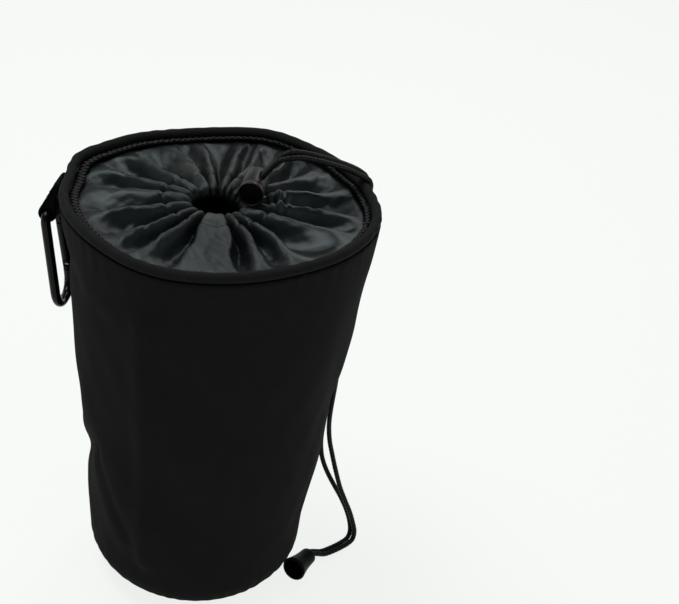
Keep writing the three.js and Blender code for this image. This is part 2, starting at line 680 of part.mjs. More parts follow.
const rivetSpace = RIVET_DIAMETER / 2 + GAP;
const latchSpace = LATCH_DIAMETER / 2 + GAP;

const latchZ = rivetZ - gateLength + LATCH_SETBACK;
const rod = tube(new PlanarCurve(hookOutline()), rodRadius, ROD_SIDES, ROD_STEPS);
const hingeTongue = tongue(barHalf, rodEndZ + rodRadius, rivetZ, rodRadius - GAP);
const noseTongue = tongue(noseY, noseEndZ - rodRadius, latchZ + LATCH_DIAMETER, rodRadius - 2 * GAP);
const rivetHole = crossPin(rivetSpace, ROD_DIAMETER, barHalf, rivetZ);
const latchHole = crossPin(latchSpace, ROD_DIAMETER, noseY, latchZ);
const latchEntry = new THREE.BoxGeometry(ROD_DIAMETER, ROD_DIAMETER, 2 * latchSpace);
latchEntry.translate(0, noseY - ROD_DIAMETER / 2, latchZ);
const hookBody = fuse(rod, hingeTongue, noseTongue);
add(hook, 'carabiner_frame', cut(hookBody, rivetHole, latchHole, latchEntry), blackMetal);

// Gate: a round bar forked at both ends, on the rivet; its own z runs from the rivet to the nose
const gate = new THREE.Group();
gate.position.set(0, barHalf, rivetZ);
gate.rotation.x = Math.PI + gateTilt;
hook.add(gate);

const forkWidth = TONGUE_THICKNESS + 2 * GAP;
const springBore = PUSHER_DIAMETER / 2 + GAP;
const boreLength = PUSHER_LENGTH + GATE_SPRING_LENGTH + 2 * GAP;
const upright = (geometry) => geometry.rotateX(Math.PI / 2);
const gateBar = upright(pin(rodRadius, gateLength)).translate(0, 0, gateLength / 2);
const eyeBall = new THREE.SphereGeometry(rodRadius, PIN_SEGMENTS, EYE_RINGS);
const gateEye = surface(solid(crossPin(rodRadius, ROD_DIAMETER, 0, 0)).intersect(solid(eyeBall)));
const hingeSlot = new THREE.BoxGeometry(forkWidth, 2 * ROD_DIAMETER, 2 * (rodRadius + GAP));
const noseSlot = new THREE.BoxGeometry(forkWidth, 2 * ROD_DIAMETER, 2 * NOSE_SLOT_DEPTH);
noseSlot.translate(0, 0, gateLength);
const gateBore = upright(pin(springBore, boreLength)).translate(0, 0, rodRadius + boreLength / 2);
const latchAlong = gateLength - LATCH_SETBACK;
const gateRivetHole = crossPin(rivetSpace, 2 * ROD_DIAMETER, 0, 0);
const gateLatchHole = crossPin(latchSpace, 2 * ROD_DIAMETER, 0, latchAlong);
const gateCuts = [hingeSlot, noseSlot, gateBore, gateRivetHole, gateLatchHole];
add(gate, 'carabiner_gate', cut(fuse(gateBar, gateEye), ...gateCuts), blackMetal);

const rivetHead = rodRadius + GAP;
const rivetSection = [
  [0, -rivetHead - RIVET_HEAD_HEIGHT],
  [RIVET_CROWN_RADIUS, -rivetHead - RIVET_HEAD_HEIGHT],
  [RIVET_HEAD_RADIUS, -rivetHead],
  [RIVET_DIAMETER / 2, -rivetHead],
  [RIVET_DIAMETER / 2, rivetHead],
  [RIVET_HEAD_RADIUS, rivetHead],
  [RIVET_CROWN_RADIUS, rivetHead + RIVET_HEAD_HEIGHT],
  [0, rivetHead + RIVET_HEAD_HEIGHT],
];
const rivet = turned(rivetSection, PIN_SEGMENTS).rotateY(Math.PI / 2).translate(0, barHalf, rivetZ);
add(hook, 'gate_rivet', rivet, bareSteel);

const latchPin = crossPin(LATCH_DIAMETER / 2, ROD_DIAMETER - GAP, 0, latchAlong);
add(gate, 'gate_latch_pin', latchPin, bareSteel);

const pusherRadius = PUSHER_DIAMETER / 2;
const pusherTip = rodRadius + GAP;
const pusherEnd = pusherTip + PUSHER_LENGTH - GAP;
const pusherSection = [
  [0, pusherTip],
  [pusherRadius / 2, pusherTip + PUSHER_NOSE / 4],
  [pusherRadius, pusherTip + PUSHER_NOSE],
  [pusherRadius, pusherEnd],
  [0, pusherEnd],
];
add(gate, 'gate_pusher', turned(pusherSection, PIN_SEGMENTS), bareSteel);

const gateSpring = spring('gate_spring', {
  radius: pusherRadius - GATE_SPRING_WIRE / 2,
  wire: GATE_SPRING_WIRE,
  length: GATE_SPRING_LENGTH,
  turns: GATE_SPRING_TURNS,
});
add(gate, 'gate_spring', gateSpring.translate(0, 0, pusherEnd + GAP), bareSteel);

export default bag;
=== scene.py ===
"""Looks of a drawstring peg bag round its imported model: cloth wall, piped rim, gathered collar, braided
drawcord with its lock and cord end, and the webbing tab with its snap hook. Metres, +Z up, with the centre
of the base at the origin."""
import json
import math

import bpy
import numpy as np
from mathutils import Matrix, Vector


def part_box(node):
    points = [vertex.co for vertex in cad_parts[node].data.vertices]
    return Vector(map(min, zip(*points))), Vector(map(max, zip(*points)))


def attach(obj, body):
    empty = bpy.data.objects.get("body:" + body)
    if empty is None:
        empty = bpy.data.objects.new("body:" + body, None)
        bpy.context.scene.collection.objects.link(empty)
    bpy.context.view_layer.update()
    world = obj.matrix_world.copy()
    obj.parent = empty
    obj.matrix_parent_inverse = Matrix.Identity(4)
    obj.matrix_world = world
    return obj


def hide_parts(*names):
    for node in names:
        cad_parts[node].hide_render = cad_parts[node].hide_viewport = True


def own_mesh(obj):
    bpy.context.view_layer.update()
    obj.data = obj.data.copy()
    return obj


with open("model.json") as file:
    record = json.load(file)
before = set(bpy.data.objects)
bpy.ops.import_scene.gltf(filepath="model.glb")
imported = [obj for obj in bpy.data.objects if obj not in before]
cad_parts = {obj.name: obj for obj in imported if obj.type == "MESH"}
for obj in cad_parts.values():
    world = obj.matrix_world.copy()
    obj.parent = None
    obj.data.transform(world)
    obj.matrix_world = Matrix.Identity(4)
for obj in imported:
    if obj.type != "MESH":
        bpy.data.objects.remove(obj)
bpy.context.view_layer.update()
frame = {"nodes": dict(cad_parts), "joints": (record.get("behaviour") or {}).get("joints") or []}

MM = 0.001
TURN = 2 * math.pi
QUARTER = math.pi / 2
WHITE = (1, 1, 1)

# Tubes, round pieces, softened edges, threads, and the turn of a plate from the YZ to the XY plane
FIRST_SIDE = (0.31, 0.57, 0.76)
CURVE_STEPS = 24
ROUND_SIDES = 64
EDGE_SOFTNESS = 0.2 * MM
SOFT_SEGMENTS = 2
SHARP_ANGLE = math.radians(35)
THREAD_RADIUS = 0.22 * MM
THREAD_SIDES = 5
PLATE_FLAT = Matrix(((0, 1, 0, 0), (0, 0, 1, 0), (1, 0, 0, 0), (0, 0, 0, 1)))

# Camera at the photograph's view
CAMERA_PLACE = Vector((0.0875, -0.5513, 0.5322))
CAMERA_AIM = Vector((0.0666, -0.0004, 0.1879))
CAMERA_ROLL = math.radians(8.22)
CAMERA_LENS = 65.72
CAMERA_SENSOR = 36.0
CAMERA_NEAR = 0.01

# Cloth body, in step with its solids
MOUTH_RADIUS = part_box("side_wall")[1].x
WALL_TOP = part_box("side_wall")[1].z
BASE_RADIUS = 61.6 * MM
BOTTOM_ROUND = 26 * MM
WALL_CLOTH = 1.2 * MM
BASE_SEAM_ANGLE = math.radians(52)
BASE_EYE = 0.4 * MM
GAP = 0.3 * MM
TAPE_WIDTH = 9 * MM
TAPE_THICKNESS = 0.8 * MM
SIDE_SEAM = math.radians(105)
WALL_COLUMNS = 320
WALL_ROWS = 84
BASE_COLUMNS = 128
BASE_ROWS = 14
BOTTOM_ROWS = 18
SEAM_ROWS = 10
TAPE_ROWS = 8
SIDE_TAPE_ROWS = 60
SIDE_TAPE_COLUMNS = 7

# The rim is a little out of round: azimuth and spread in degrees, then mm outward and mm upward
RIM_BULGES = (
    (80, 18, 2.4, 2.4), (52, 14, 1.4, 0.8), (5, 18, 1.4, 0.2), (122, 18, -1.2, -0.9), (166, 11, 3.4, 0.6),
    (-104, 18, 1.4, -0.7), (-48, 26, -2.4, 1.1), (29, 8, 0.2, 1.2), (183, 7, -0.6, 0),
)
RIM_WAVE = 0.45 * MM
RIM_REACH = 80 * MM

# Creases of the wall: from and to as (azimuth in degrees, height in mm), then width and depth in mm, with
# positive depths standing out
CREASES = (
    ((-190, 58), (-140, 100), 8, -3.4),
    ((-192, 44), (-144, 82), 12, -1.7),
    ((-175, 208), (-146, 206), 12, -2.6),
    ((-172, 190), (-166, 115), 20, -1.3),
    ((2, 210), (4, 150), 18, 1.3),
    ((-138, 101), (-115, 54), 5, -1.2),
    ((-143, 88), (-122, 48), 8, 0.9),
    ((-106, 205), (-106, 40), 6, 2.3),
    ((-130, 190), (-128, 120), 16, -1.2),
    ((-145, 214), (-108, 196), 7, 0.6),
    ((-62, 190), (-58, 90), 20, -0.7),
    ((-30, 60), (-52, 92), 9, 0.8),
    ((-12, 180), (-20, 110), 15, -0.9),
    ((35, 120), (62, 84), 9, -1.6),
    ((70, 190), (82, 70), 15, -1.1),
    ((112, 96), (150, 120), 8, 1.0),
    ((150, 190), (140, 120), 14, -1.0),
)

# Slack of the wall between foot and rim, puckers below the mouth and above the foot, and the side seam
FOOT_HELD = 4 * MM
SLACK_FROM = 50 * MM
SLACK_TO = 190 * MM
SLOW_SLACK = 0.75 * MM
FINE_SLACK = 0.18 * MM
PUCKER = 0.2 * MM
RIM_PUCKERS = (22 * MM, 4 * MM)
FOOT_PUCKERS = (12 * MM, 35 * MM)
SEAM_WIDTH = 1.6 * MM
SEAM_DEPTH = 0.6 * MM
SEAM_FROM = 20 * MM
WALL_SEED = 5

# Piped rim, and the facing tape inside it with its width as (azimuth in degrees, mm)
BEAD_RADIUS = 2.6 * MM
RIM_HEIGHT = WALL_TOP + GAP + 2 * BEAD_RADIUS
COVER_CLOTH = 0.5 * MM
FLANGE_SLIT = 0.4 * MM
FLANGE_LENGTH = 10 * MM
FLANGE_FOOT = RIM_HEIGHT - 2 * BEAD_RADIUS - FLANGE_LENGTH
FLANGE_ROWS = 6
FACET_SLACK = 0.2 * MM
PIPING_PUCKER = 0.22 * MM
BEAD_ROWS = 26
CORE_COLUMNS = 160
CORE_SIDES = 12
FACING_WIDTHS = (
    (0, 3.2), (60, 4.6), (120, 5.2), (180, 5.2), (215, 3.6), (250, 2.2), (320, 2.2), (360, 3.2),
)
FACING_RISE = 0.9 * MM
FACING_THICKNESS = 0.6 * MM
FACING_COLUMNS = 256
FACING_ROWS = 9
OVERLOCK_PITCH = 3.4 * MM
OVERLOCK_RADIUS = 0.42 * MM
OVERLOCK_SPAN = (0.2, 0.92)
OVERLOCK_STEPS = 4
OVERLOCK_SIDES = 6

# Collar: ridges of the pleats as azimuths at the rim and at the hem, in degrees
RIDGES = (
    (3, 4), (26, 28), (50, 45), (68, 60), (83, 77), (91, 89), (112, 107), (125, 121), (149, 148),
    (168, 168), (184, 186), (211, 214), (234, 236), (246, 251), (266, 267), (284, 290), (297, 304),
    (315, 319), (347, 345),
)
USUAL_PLEAT = math.radians(18)
COLUMNS_PER_PLEAT = 18

# Forms of the pleats, with two starts as shares of the way from the rim to the hem
FRONT_PLEAT = 14
FRONT_DEPTH = 0.1
PLEAT_DEPTHS = (0.85, 1.12)
PLEAT_SKEW = 0.5
PLEAT_RISE = 0.8 * MM
PLEAT_WANDER = math.radians(1.1)
WANDER_TURNS = 1.4
CREST = 0.3
FINGER_POWER = 1.3
FINGERS_FROM = 0.4
TURN_FROM = 0.05

# Cloth, hem and gathering of the collar
COLLAR_CLOTH = 0.9 * MM
COLLAR_SEED = 11
COLLAR_SKIRT_ROWS = 4
COLLAR_STEP = 1.0 * MM
COLLAR_SLACK = 0.45 * MM
COLLAR_CRINKLE = 0.27 * MM
CRINKLE_REACH = 60 * MM
GATHER = Vector((-1.5 * MM, -5 * MM))
GATHER_RADIUS = 16.5 * MM
GATHER_HEIGHT = 234 * MM
HEM_SEAM_RADIUS = 27 * MM
HEM_STITCH = 2.4 * MM
STITCH_STEP = 0.6 * MM
LOCK_PRESS = 1.8 * MM

# Ridge line of the collar from the rim over to the hole and back under the hem, in mm: radius, height,
# depth of the fold beside it, the way the fold goes as (radius, height), and half the width of its
# hollow as a share of the pleat
COLLAR_LINE = (
    (75.3, 229.6, 0, 0, -1, 0.3), (75, 231.6, 0, 0, -1, 0.3), (74, 233.2, 0, 0, -1, 0.3),
    (70.4, 234.5, 0.6, 0, -1, 0.36), (64, 236.3, 4.4, 0, -1, 0.44), (54, 237.8, 7.6, 0, -1, 0.49),
    (43, 238.9, 8.8, 0, -1, 0.5), (34, 239.5, 9, 0, -1, 0.5), (29, 239.8, 8.6, 0, -1, 0.5),
    (27, 238.8, 7.8, 0, -1, 0.5), (25, 239.8, 7, 0, -1, 0.5), (21, 239.8, 4.8, 0, -1, 0.5),
    (17, 239.4, 2.9, 0.1, -1, 0.5), (14, 238.2, 2.4, 0.6, -0.8, 0.5), (12.4, 236, 2, 1, -0.3, 0.5),
    (12, 233.8, 1.5, 1, 0, 0.5), (12.8, 231.6, 0.9, 0.7, 0.5, 0.5), (15.5, 230.5, 0.6, 0, 1, 0.5),
    (20, 230.2, 0.5, 0, 1, 0.5), (26, 230, 0.5, 0, 1, 0.5),
)

# Bunched cloth beside the lock
RUFFLE_CENTRE = (29 * MM, 4 * MM)
RUFFLE_SPREAD = (5.5 * MM, 8.5 * MM)
RUFFLE_RISE = 2.4 * MM
RUFFLE_DEPTH = 2.0 * MM
RUFFLE_PITCH = 4.6 * MM
RUFFLE_BEND = 0.3

# Drawcord: the two strands as they lie, in mm, from the hem through the lock, over the rim and along the
# floor
CORD_DIAMETER = 3 * MM
BRAID_STRANDS = 4
BRAID_DEPTH = 0.45 * MM
BRAID_STEP = 0.3 * MM
BRAID_SIDES = 20
STRAND_A = (
    (11.31, 6.65, 239.72), (15.5, 6.65, 245.7), (18.94, 6.65, 250.61), (22.38, 6.65, 255.53),
    (25.25, 6.65, 259.63), (27.9, 7, 262.6), (31.5, 8.2, 264.4), (36.2, 11.2, 263.9),
    (41.4, 15.2, 261.9), (46.6, 19.7, 259.2), (51.9, 25, 256), (57.2, 30.7, 252.3),
    (62.2, 35.9, 248.5), (66.3, 39.7, 245), (69.3, 41.9, 241.7), (70.4, 42.3, 238),
    (70.3, 43.1, 231), (69.4, 45, 222), (68.8, 46.1, 195),
    (68.6, 46.1, 150), (67.6, 46.1, 105), (65.8, 45.8, 72), (65.9, 45, 58),
    (67.8, 43.8, 48), (70.8, 42, 41.5), (74.4, 40, 36.2), (78.3, 38.2, 31.2),
    (83.3, 36.4, 24.5), (88, 34.7, 16.5), (91.2, 32.6, 9), (92.3, 29.9, 4),
    (91.4, 26.6, 1.7), (87.7, 21, 1.6), (82, 15, 1.6), (76.6, 10.2, 2),
    (72.6, 7.6, 3.5), (69.7, 5, 4.9), (68.49, 2.27, 5.26), (66.94, -1.2, 5.77),
)
STRAND_B = (
    (11.31, 3.35, 239.72), (15.5, 3.35, 245.7), (18.94, 3.35, 250.61), (22.38, 3.35, 255.53),
    (25.25, 3.35, 259.63), (28.5, 3.7, 262), (33.3, 5.8, 262.8), (38.2, 9, 262.2),
    (43.4, 13, 260.2), (48.6, 17.5, 257.6), (53.9, 22.8, 254.4), (59.2, 28.5, 250.7),
    (64.2, 33.2, 246.9), (68.4, 37, 243.6), (71.6, 38.9, 240.9), (72.7, 39.1, 238),
    (72.1, 40.3, 231), (71.2, 42.2, 222), (70.6, 43.3, 195),
    (70.4, 43.3, 150), (69.5, 43.2, 105), (69.2, 42, 76), (71, 39.8, 65),
    (74, 37.4, 56), (77.9, 34.6, 45.5), (82, 32.4, 35.4), (86.4, 31.2, 26.6),
    (90, 30.6, 19.5), (93, 29.8, 12), (95, 28, 5.8), (94.6, 25.4, 2.3),
    (92.7, 22.2, 1.6), (90.3, 19, 1.6), (84.6, 13, 1.6), (79.4, 8.4, 2),
    (75.6, 5.9, 3.5), (72.73, 3.67, 4.9), (71.51, 0.93, 5.26), (69.96, -2.54, 5.77),
)
LOOP_FROM = 68
LOOP_TO = 375
LOOP_POINTS = 14
LOOP_RISE = 1 * MM
LOOP_TURN = Vector((0.6 * MM, -1 * MM, 0))

# Barrel lock, its axis along Y
LOCK_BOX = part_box("lock_barrel")
LOCK_RADIUS = 6.5 * MM
LOCK_FRONT = 12.4 * MM
LOCK_REAR = 7 * MM
LOCK_LEAN = math.radians(35)
LOCK_BORE = 4.5 * MM
LOCK_WALL = 2 * MM
LOCK_EDGE = 0.5 * MM
LOCK_RIM = 0.9 * MM
LOCK_RECESS = 1.4 * MM
LOCK_LIP = 0.7 * MM
LOCK_SOFTNESS = 0.25 * MM
RECESS_RADIUS = LOCK_RADIUS - LOCK_RIM
RECESS_END = LOCK_RECESS - LOCK_FRONT
GROOVE_DEPTH = 0.35 * MM
GROOVE_HALF = 0.2 * MM
GROOVE_PLACE = 3.5 * MM
DISC_GAP = 0.1 * MM
DISC_THICKNESS = 0.6 * MM
DISC_BEVEL = (0.3 * MM, 0.2 * MM)
LOOP_END = -LOCK_RADIUS - 1.1 * MM
LOOP_LEAD = 1.2 * MM
STRAND_OFFSET = (CORD_DIAMETER + GAP) / 2
STRANDS_HALF = STRAND_OFFSET + CORD_DIAMETER / 2 + GAP
PLUNGER_TRAVEL = 2.5 * MM
PLUNGER_PROTRUSION = 4 * MM
PLUNGER_END_WALL = 1.8 * MM
PLUNGER_EDGE = 1.5 * MM
SPRING_RADIUS = 3.2 * MM
SPRING_WIRE = 0.5 * MM
SPRING_TURNS = 4
SPRING_STEPS = 32
SPRING_SIDES = 10

# Cord end
BELL_NECK = (70 * MM, 1.6 * MM)
BELL_HEADING = math.radians(-114)
BELL_LENGTH = 18 * MM
BELL_NECK_RADIUS = 5 * MM
BELL_WAIST_RADIUS = 5.96 * MM
BELL_MOUTH_RADIUS = 7.4 * MM
BELL_WALL = 1.3 * MM
BELL_SHOULDER = 4 * MM
BELL_ROUND = 1.2 * MM
BELL_LIP = 0.5 * MM
BELL_HOLLOW = 0.35 * MM
BELL_ROWS = 14

# Webbing tab
TAB_WIDTH = 15 * MM
WEBBING = 1.6 * MM
WEBBING_CORNERS = (0.3, 0.5)
LAYER_OFFSET = (WEBBING + GAP) / 2
TAB_LENGTH = 16.9 * MM
TAB_LEAN = math.radians(16.2)
TAB_STITCHED = 8.5 * MM
TAB_SEAMS = (4.6 * MM, 8 * MM)
TAB_SEAM_INSET = 1.2 * MM
TAB_STITCH = 1.4 * MM
TAB_STITCH_PITCH = 2 * MM
TAB_BOW = 1.2 * MM
TAB_STEP = 0.4 * MM
TAB_SIDES = 28
BAR_CLEARANCE = 0.7 * MM
FOLD_INSET = 0.5 * MM
FOLD_GAP = 0.1 * MM

# Snap hook
ROD_RADIUS = 2.5 * MM
HOOK_LENGTH = 60 * MM
HOOK_LEAN = math.radians(7)
BAR_CORNER = 4.5 * MM
NOSE_FLARE = 2 * MM
SPINE_CORNER = 10.5 * MM
NOSE_CORNER = 9.5 * MM
GATE_TOP = 8.3 * MM
NOSE_REACH = 18 * MM
TONGUE_THICKNESS = 2 * MM
RIVET_RADIUS = 1 * MM
RIVET_HEAD = 1.5 * MM
RIVET_CROWN = 0.4 * MM
LATCH_RADIUS = 0.8 * MM
LATCH_SETBACK = 2.2 * MM
NOSE_SLOT_DEPTH = 6 * MM
GATE_CHAMFER = 0.4 * MM
GATE_SIDES = 40
PIN_SIDES = 32
RIVET_SOFTNESS = 0.1 * MM
ROD_SIDES = 24
ROD_STEP = 0.8 * MM

# Lines of the snap hook in its own frame: y across from the middle of its bar, and z up from the bar
BAR_HALF = TAB_WIDTH / 2 + GAP + FACET_SLACK + ROD_RADIUS
NOSE_Y = BAR_HALF + NOSE_FLARE
NOSE_Z = NOSE_REACH - HOOK_LENGTH
ROD_END = NOSE_Z - 2 * GAP
RIVET_Z = -GATE_TOP - ROD_RADIUS
GATE_DROP = RIVET_Z - NOSE_Z
GATE_TILT = math.atan2(NOSE_FLARE, GATE_DROP)
GATE_LENGTH = GATE_DROP / math.cos(GATE_TILT)
LATCH_Z = RIVET_Z - GATE_LENGTH + LATCH_SETBACK
LATCH_SPACE = LATCH_RADIUS + GAP
ACROSS_ROD = 4 * ROD_RADIUS

# Surfaces: scale of the drift in tone, drift in roughness, strength of the bump, and the radians that a
# wave texture turns per unit
CLOTH_DRIFT_SCALE = 60.0
CLOTH_ROUGH_DRIFT = (-0.08, 0.06)
WEAVE_STRENGTH = 0.55
GRAIN_DRIFT_SCALE = 180.0
GRAIN_ROUGH_DRIFT = (0.85, 1.15)
GRAIN_STRENGTH = 0.35
WAVE_RATE = 20.0

# Stage and light: each lamp has a name, a place, a size and a power
FLOOR_HALF = 30.0
FLOOR_ROUGHNESS = 0.7
FLOOR_COLOR = (0.83, 0.85, 0.82)
FLOOR_GLOW = 0.84
GLOW_COLOR = (0.97, 1.0, 0.97)
HORIZON_COLOR = (0.84, 0.87, 0.84)
BACKDROP_COLOR = (0.1, 0.11, 0.105)
BACKDROP_RISE = (0.2, 0.45)
WORLD_LIGHT = 0.3
LAMPS = (
    ("key", (-0.5, 0.1, 1.5), 0.7, 13.0),
    ("fill", (1.3, -0.9, 0.9), 1.3, 2.0),
    ("back", (0.35, 1.3, 1.35), 0.6, 6.0),
)
LAMP_AIM = (0, 0, 0.2)


def smoothstep(x, low, high):
    t = np.clip((x - low) / (high - low), 0, 1)
    return t * t * (3 - 2 * t)


def lerp(a, b, t):
    return a + (b - a) * t


def unwrapped(azimuth):
    """An angle, or an array of them, between minus and plus half a turn."""
    return (azimuth + math.pi) % TURN - math.pi


def even_angles(count):
    """Angles at even steps round a whole turn."""
    return np.linspace(0, TURN, count, endpoint=False)


def frame_at(place, angle, axis):
    """A frame at a place, turned about one of the axes."""
    return Matrix.Translation(place) @ Matrix.Rotation(angle, 4, axis)


def ripples(seed, count, turns, rises):
    """A smooth field over azimuth and height, of waves with seeded counts, rises and phases."""
    random = np.random.default_rng(seed)
    waves = [(random.integers(*turns), random.uniform(*rises), random.uniform(0, TURN))
             for _ in range(count)]

    def field(azimuth, height):
        total = sum(np.cos(n * azimuth + TURN * rise * height + phase) for n, rise, phase in waves)
        return total / math.sqrt(count)
    return field


# Meshes
def placed(name, data):
    """A new object in the scene."""
    obj = bpy.data.objects.new(name, data)
    bpy.context.scene.collection.objects.link(obj)
    return obj


def piece(name, points, faces, finish, smooth=True):
    """A new mesh object from points and faces, with one material."""
    mesh = bpy.data.meshes.new(name)
    mesh.from_pydata([tuple(p) for p in points], [], [tuple(f) for f in faces])
    mesh.materials.append(finish)
    mesh.polygons.foreach_set("use_smooth", [smooth] * len(mesh.polygons))
    mesh.update()
    return placed(name, mesh)


def quads(rows, columns, closed=False):
    """Faces of a grid that is closed round its columns, and from its last row to its first where asked."""
    i, k = (a.ravel() for a in np.mgrid[0:rows if closed else rows - 1, 0:columns])
    j, n = (i + 1) % rows, (k + 1) % columns
    return np.stack([i * columns + k, i * columns + n, j * columns + n, j * columns + k], 1)


def inside_out(points, faces):
    """Whether faces point inward, by the sign of the volume behind the first three corners of each."""
    corners = points[np.array([f[:3] for f in faces])]
    return np.einsum("ij,ij->i", corners[:, 0], np.cross(corners[:, 1], corners[:, 2])).sum() < 0


def distances(path):
    """The way along a path to each of its points."""
    return np.concatenate([[0], np.cumsum(np.linalg.norm(np.diff(path, axis=0), axis=1))])


def loft(name, grid, finish, closed_section=True):
    """A skin over a grid of rows and columns, closed round its columns, with its cloth mapped in metres."""
    rows, columns = grid.shape[:2]
    points = grid.reshape(-1, 3)
    faces = quads(rows, columns, closed_section)
    i, k = np.divmod(faces[:, 0], columns)
    steps = np.linalg.norm(np.diff(np.concatenate([grid, grid[:1]]), axis=0), axis=2).mean(1)
    along = np.concatenate([[0], np.cumsum(steps)])
    around = np.linalg.norm(np.roll(grid, -1, 1) - grid, axis=2).sum(1).max() / columns
    corners = np.stack([np.stack([(k + right) * around, along[i + down]], 1)
                        for right, down in ((0, 0), (1, 0), (1, 1), (0, 1))], 1)
    if inside_out(points, faces):
        faces, corners = faces[:, ::-1], corners[:, ::-1]
    obj = piece(name, points, faces.tolist(), finish)
    weave = obj.data.uv_layers.new(name="weave")
    weave.uv.foreach_set("vector", np.asarray(corners, np.float32).ravel())
    return obj


def round_grid(radius, azimuth, height):
    """Points at a radius, azimuth and height, which may be arrays."""
    return np.stack(np.broadcast_arrays(radius * np.cos(azimuth), radius * np.sin(azimuth), height), -1)


def turned(section, columns, relief=None):
    """A section of (radius, height) rows turned about +Z, with a relief along the radius, and pulled out
    of round as the rim is."""
    radius, height = (np.array(section)[:, axis:axis + 1] for axis in (0, 1))
    azimuth = even_angles(columns)[None, :]
    radius = radius + rim_out(azimuth, height)
    if relief is not None:
        radius = radius + relief(azimuth, height)
    return round_grid(radius, azimuth, height + rim_lift(azimuth, height))


def lathe(name, profile, finish, place, sides=ROUND_SIDES):
    """A closed solid turned about its own z: the profile runs from axis to axis or is a closed ring."""
    profile = np.array(profile, float)
    capped = profile[0, 0] == 0
    ring = profile[1:-1] if capped else profile
    points = round_grid(ring[:, :1], even_angles(sides), ring[:, 1:]).reshape(-1, 3)
    faces = quads(len(ring), sides, not capped).tolist()
    if capped:
        tip = len(points)
        start = tip - sides
        points = np.concatenate([points, [[0, 0, profile[0, 1]], [0, 0, profile[-1, 1]]]])
        faces += [((k + 1) % sides, k, tip) for k in range(sides)]
        faces += [(start + k, start + (k + 1) % sides, tip + 1) for k in range(sides)]
    if inside_out(points, faces):
        faces = [f[::-1] for f in faces]
    obj = piece(name, points, faces, finish)
    obj.data.transform(place)
    return obj


def normals_along(path):
    """Two normals carried along a path without twist."""
    tangent = np.gradient(path, axis=0)
    tangent /= np.linalg.norm(tangent, axis=1, keepdims=True)
    side = np.cross(tangent[0], FIRST_SIDE)
    sides = []
    for t in tangent:
        side = side - t * (side @ t)
        side = side / np.linalg.norm(side)
        sides.append(side)
    sides = np.array(sides)
    return sides, np.cross(tangent, sides)


def tube_mesh(path, radii, sides):
    """Points and faces of a capped tube: radii is one value, or a grid of rings by sides."""
    path = np.asarray(path, float)
    rings = len(path)
    side, up = normals_along(path)
    angle = even_angles(sides)
    radii = np.broadcast_to(radii, (rings, sides))
    ring = side[:, None] * np.cos(angle)[None, :, None] + up[:, None] * np.sin(angle)[None, :, None]
    points = (path[:, None] + ring * radii[..., None]).reshape(-1, 3)
    faces = quads(rings, sides).tolist()
    faces.append(list(range(sides))[::-1])
    faces.append([(rings - 1) * sides + k for k in range(sides)])
    return points, faces


def tubes(name, paths, radius, sides, finish):
    """Many capped tubes as one piece."""
    points, faces = [], []
    for path in paths:
        p, f = tube_mesh(path, radius, sides)
        start = sum(len(x) for x in points)
        faces += [[start + v for v in face] for face in f]
        points.append(p)
    return piece(name, np.concatenate(points), faces, finish)


def plate(name, outline, thickness, finish):
    """An outline in the YZ plane made as thick as given along X."""
    outline = np.array(outline, float)
    count = len(outline)
    half = thickness / 2
    points = np.concatenate([np.column_stack([np.full(count, x), outline]) for x in (-half, half)])
    faces = [list(range(count))[::-1], list(range(count, 2 * count))] + quads(2, count).tolist()
    if inside_out(points, faces):
        faces = [f[::-1] for f in faces]
    return piece(name, points, faces, finish, smooth=False)


def combine(target, operation, *tools):
    """Cuts the tools out of a piece or joins them to it, and removes them."""
    for tool in tools:
        change = target.modifiers.new("combine", "BOOLEAN")
        change.operation = operation
        change.solver = "EXACT"
        change.object = tool
        settle(target)
        bpy.data.objects.remove(tool)


def settle(obj):
    """Applies a piece's modifiers to its mesh."""
    bpy.context.view_layer.update()
    made = bpy.data.meshes.new_from_object(obj.evaluated_get(bpy.context.evaluated_depsgraph_get()))
    old = obj.data
    obj.modifiers.clear()
    obj.data = made
    bpy.data.meshes.remove(old)


def soften(obj, width):
    """Rounds the sharp edges of a moulded or machined piece, and shades the rest smooth."""
    bevel = obj.modifiers.new("edges", "BEVEL")
    bevel.width = width
    bevel.segments = SOFT_SEGMENTS
    bevel.limit_method = "ANGLE"
    bevel.angle_limit = SHARP_ANGLE
    settle(obj)
    obj.data.polygons.foreach_set("use_smooth", [True] * len(obj.data.polygons))
    obj.data.set_sharp_from_angle(angle=SHARP_ANGLE)
    return obj


def arc(centre, radius, start, end, steps):
    angles = np.linspace(start, end, steps)
    return [(centre[0] + radius * math.cos(a), centre[1] + radius * math.sin(a)) for a in angles]


def curve_through(points, step):
    """A centripetal curve through points, resampled at even steps."""
    p = np.asarray(points, float)
    p = np.concatenate([[2 * p[0] - p[1]], p, [2 * p[-1] - p[-2]]])
    fine = []
    for a, b, c, d in zip(p, p[1:], p[2:], p[3:]):
        t1 = np.linalg.norm(b - a) ** 0.5
        t2 = t1 + np.linalg.norm(c - b) ** 0.5
        t3 = t2 + np.linalg.norm(d - c) ** 0.5
        t = np.linspace(t1, t2, CURVE_STEPS, endpoint=False)[:, None]
        near, far = t / t1, (t - t2) / (t3 - t2)
        between = (t - t1) / (t2 - t1)
        ab, bc, cd = lerp(a, b, near), lerp(b, c, between), lerp(c, d, far)
        abc, bcd = lerp(ab, bc, t / t2), lerp(bc, cd, (t - t1) / (t3 - t1))
        fine.append(lerp(abc, bcd, between))
    return resampled(np.concatenate([*fine, [p[-2]]]), step)


def resampled(path, step):
    lengths = distances(path)
    places = np.linspace(0, lengths[-1], max(2, round(lengths[-1] / step) + 1))
    return np.stack([np.interp(places, lengths, path[:, axis]) for axis in range(3)], 1)


# Materials
def shader_of(made):
    return made.node_tree.nodes["Principled BSDF"]


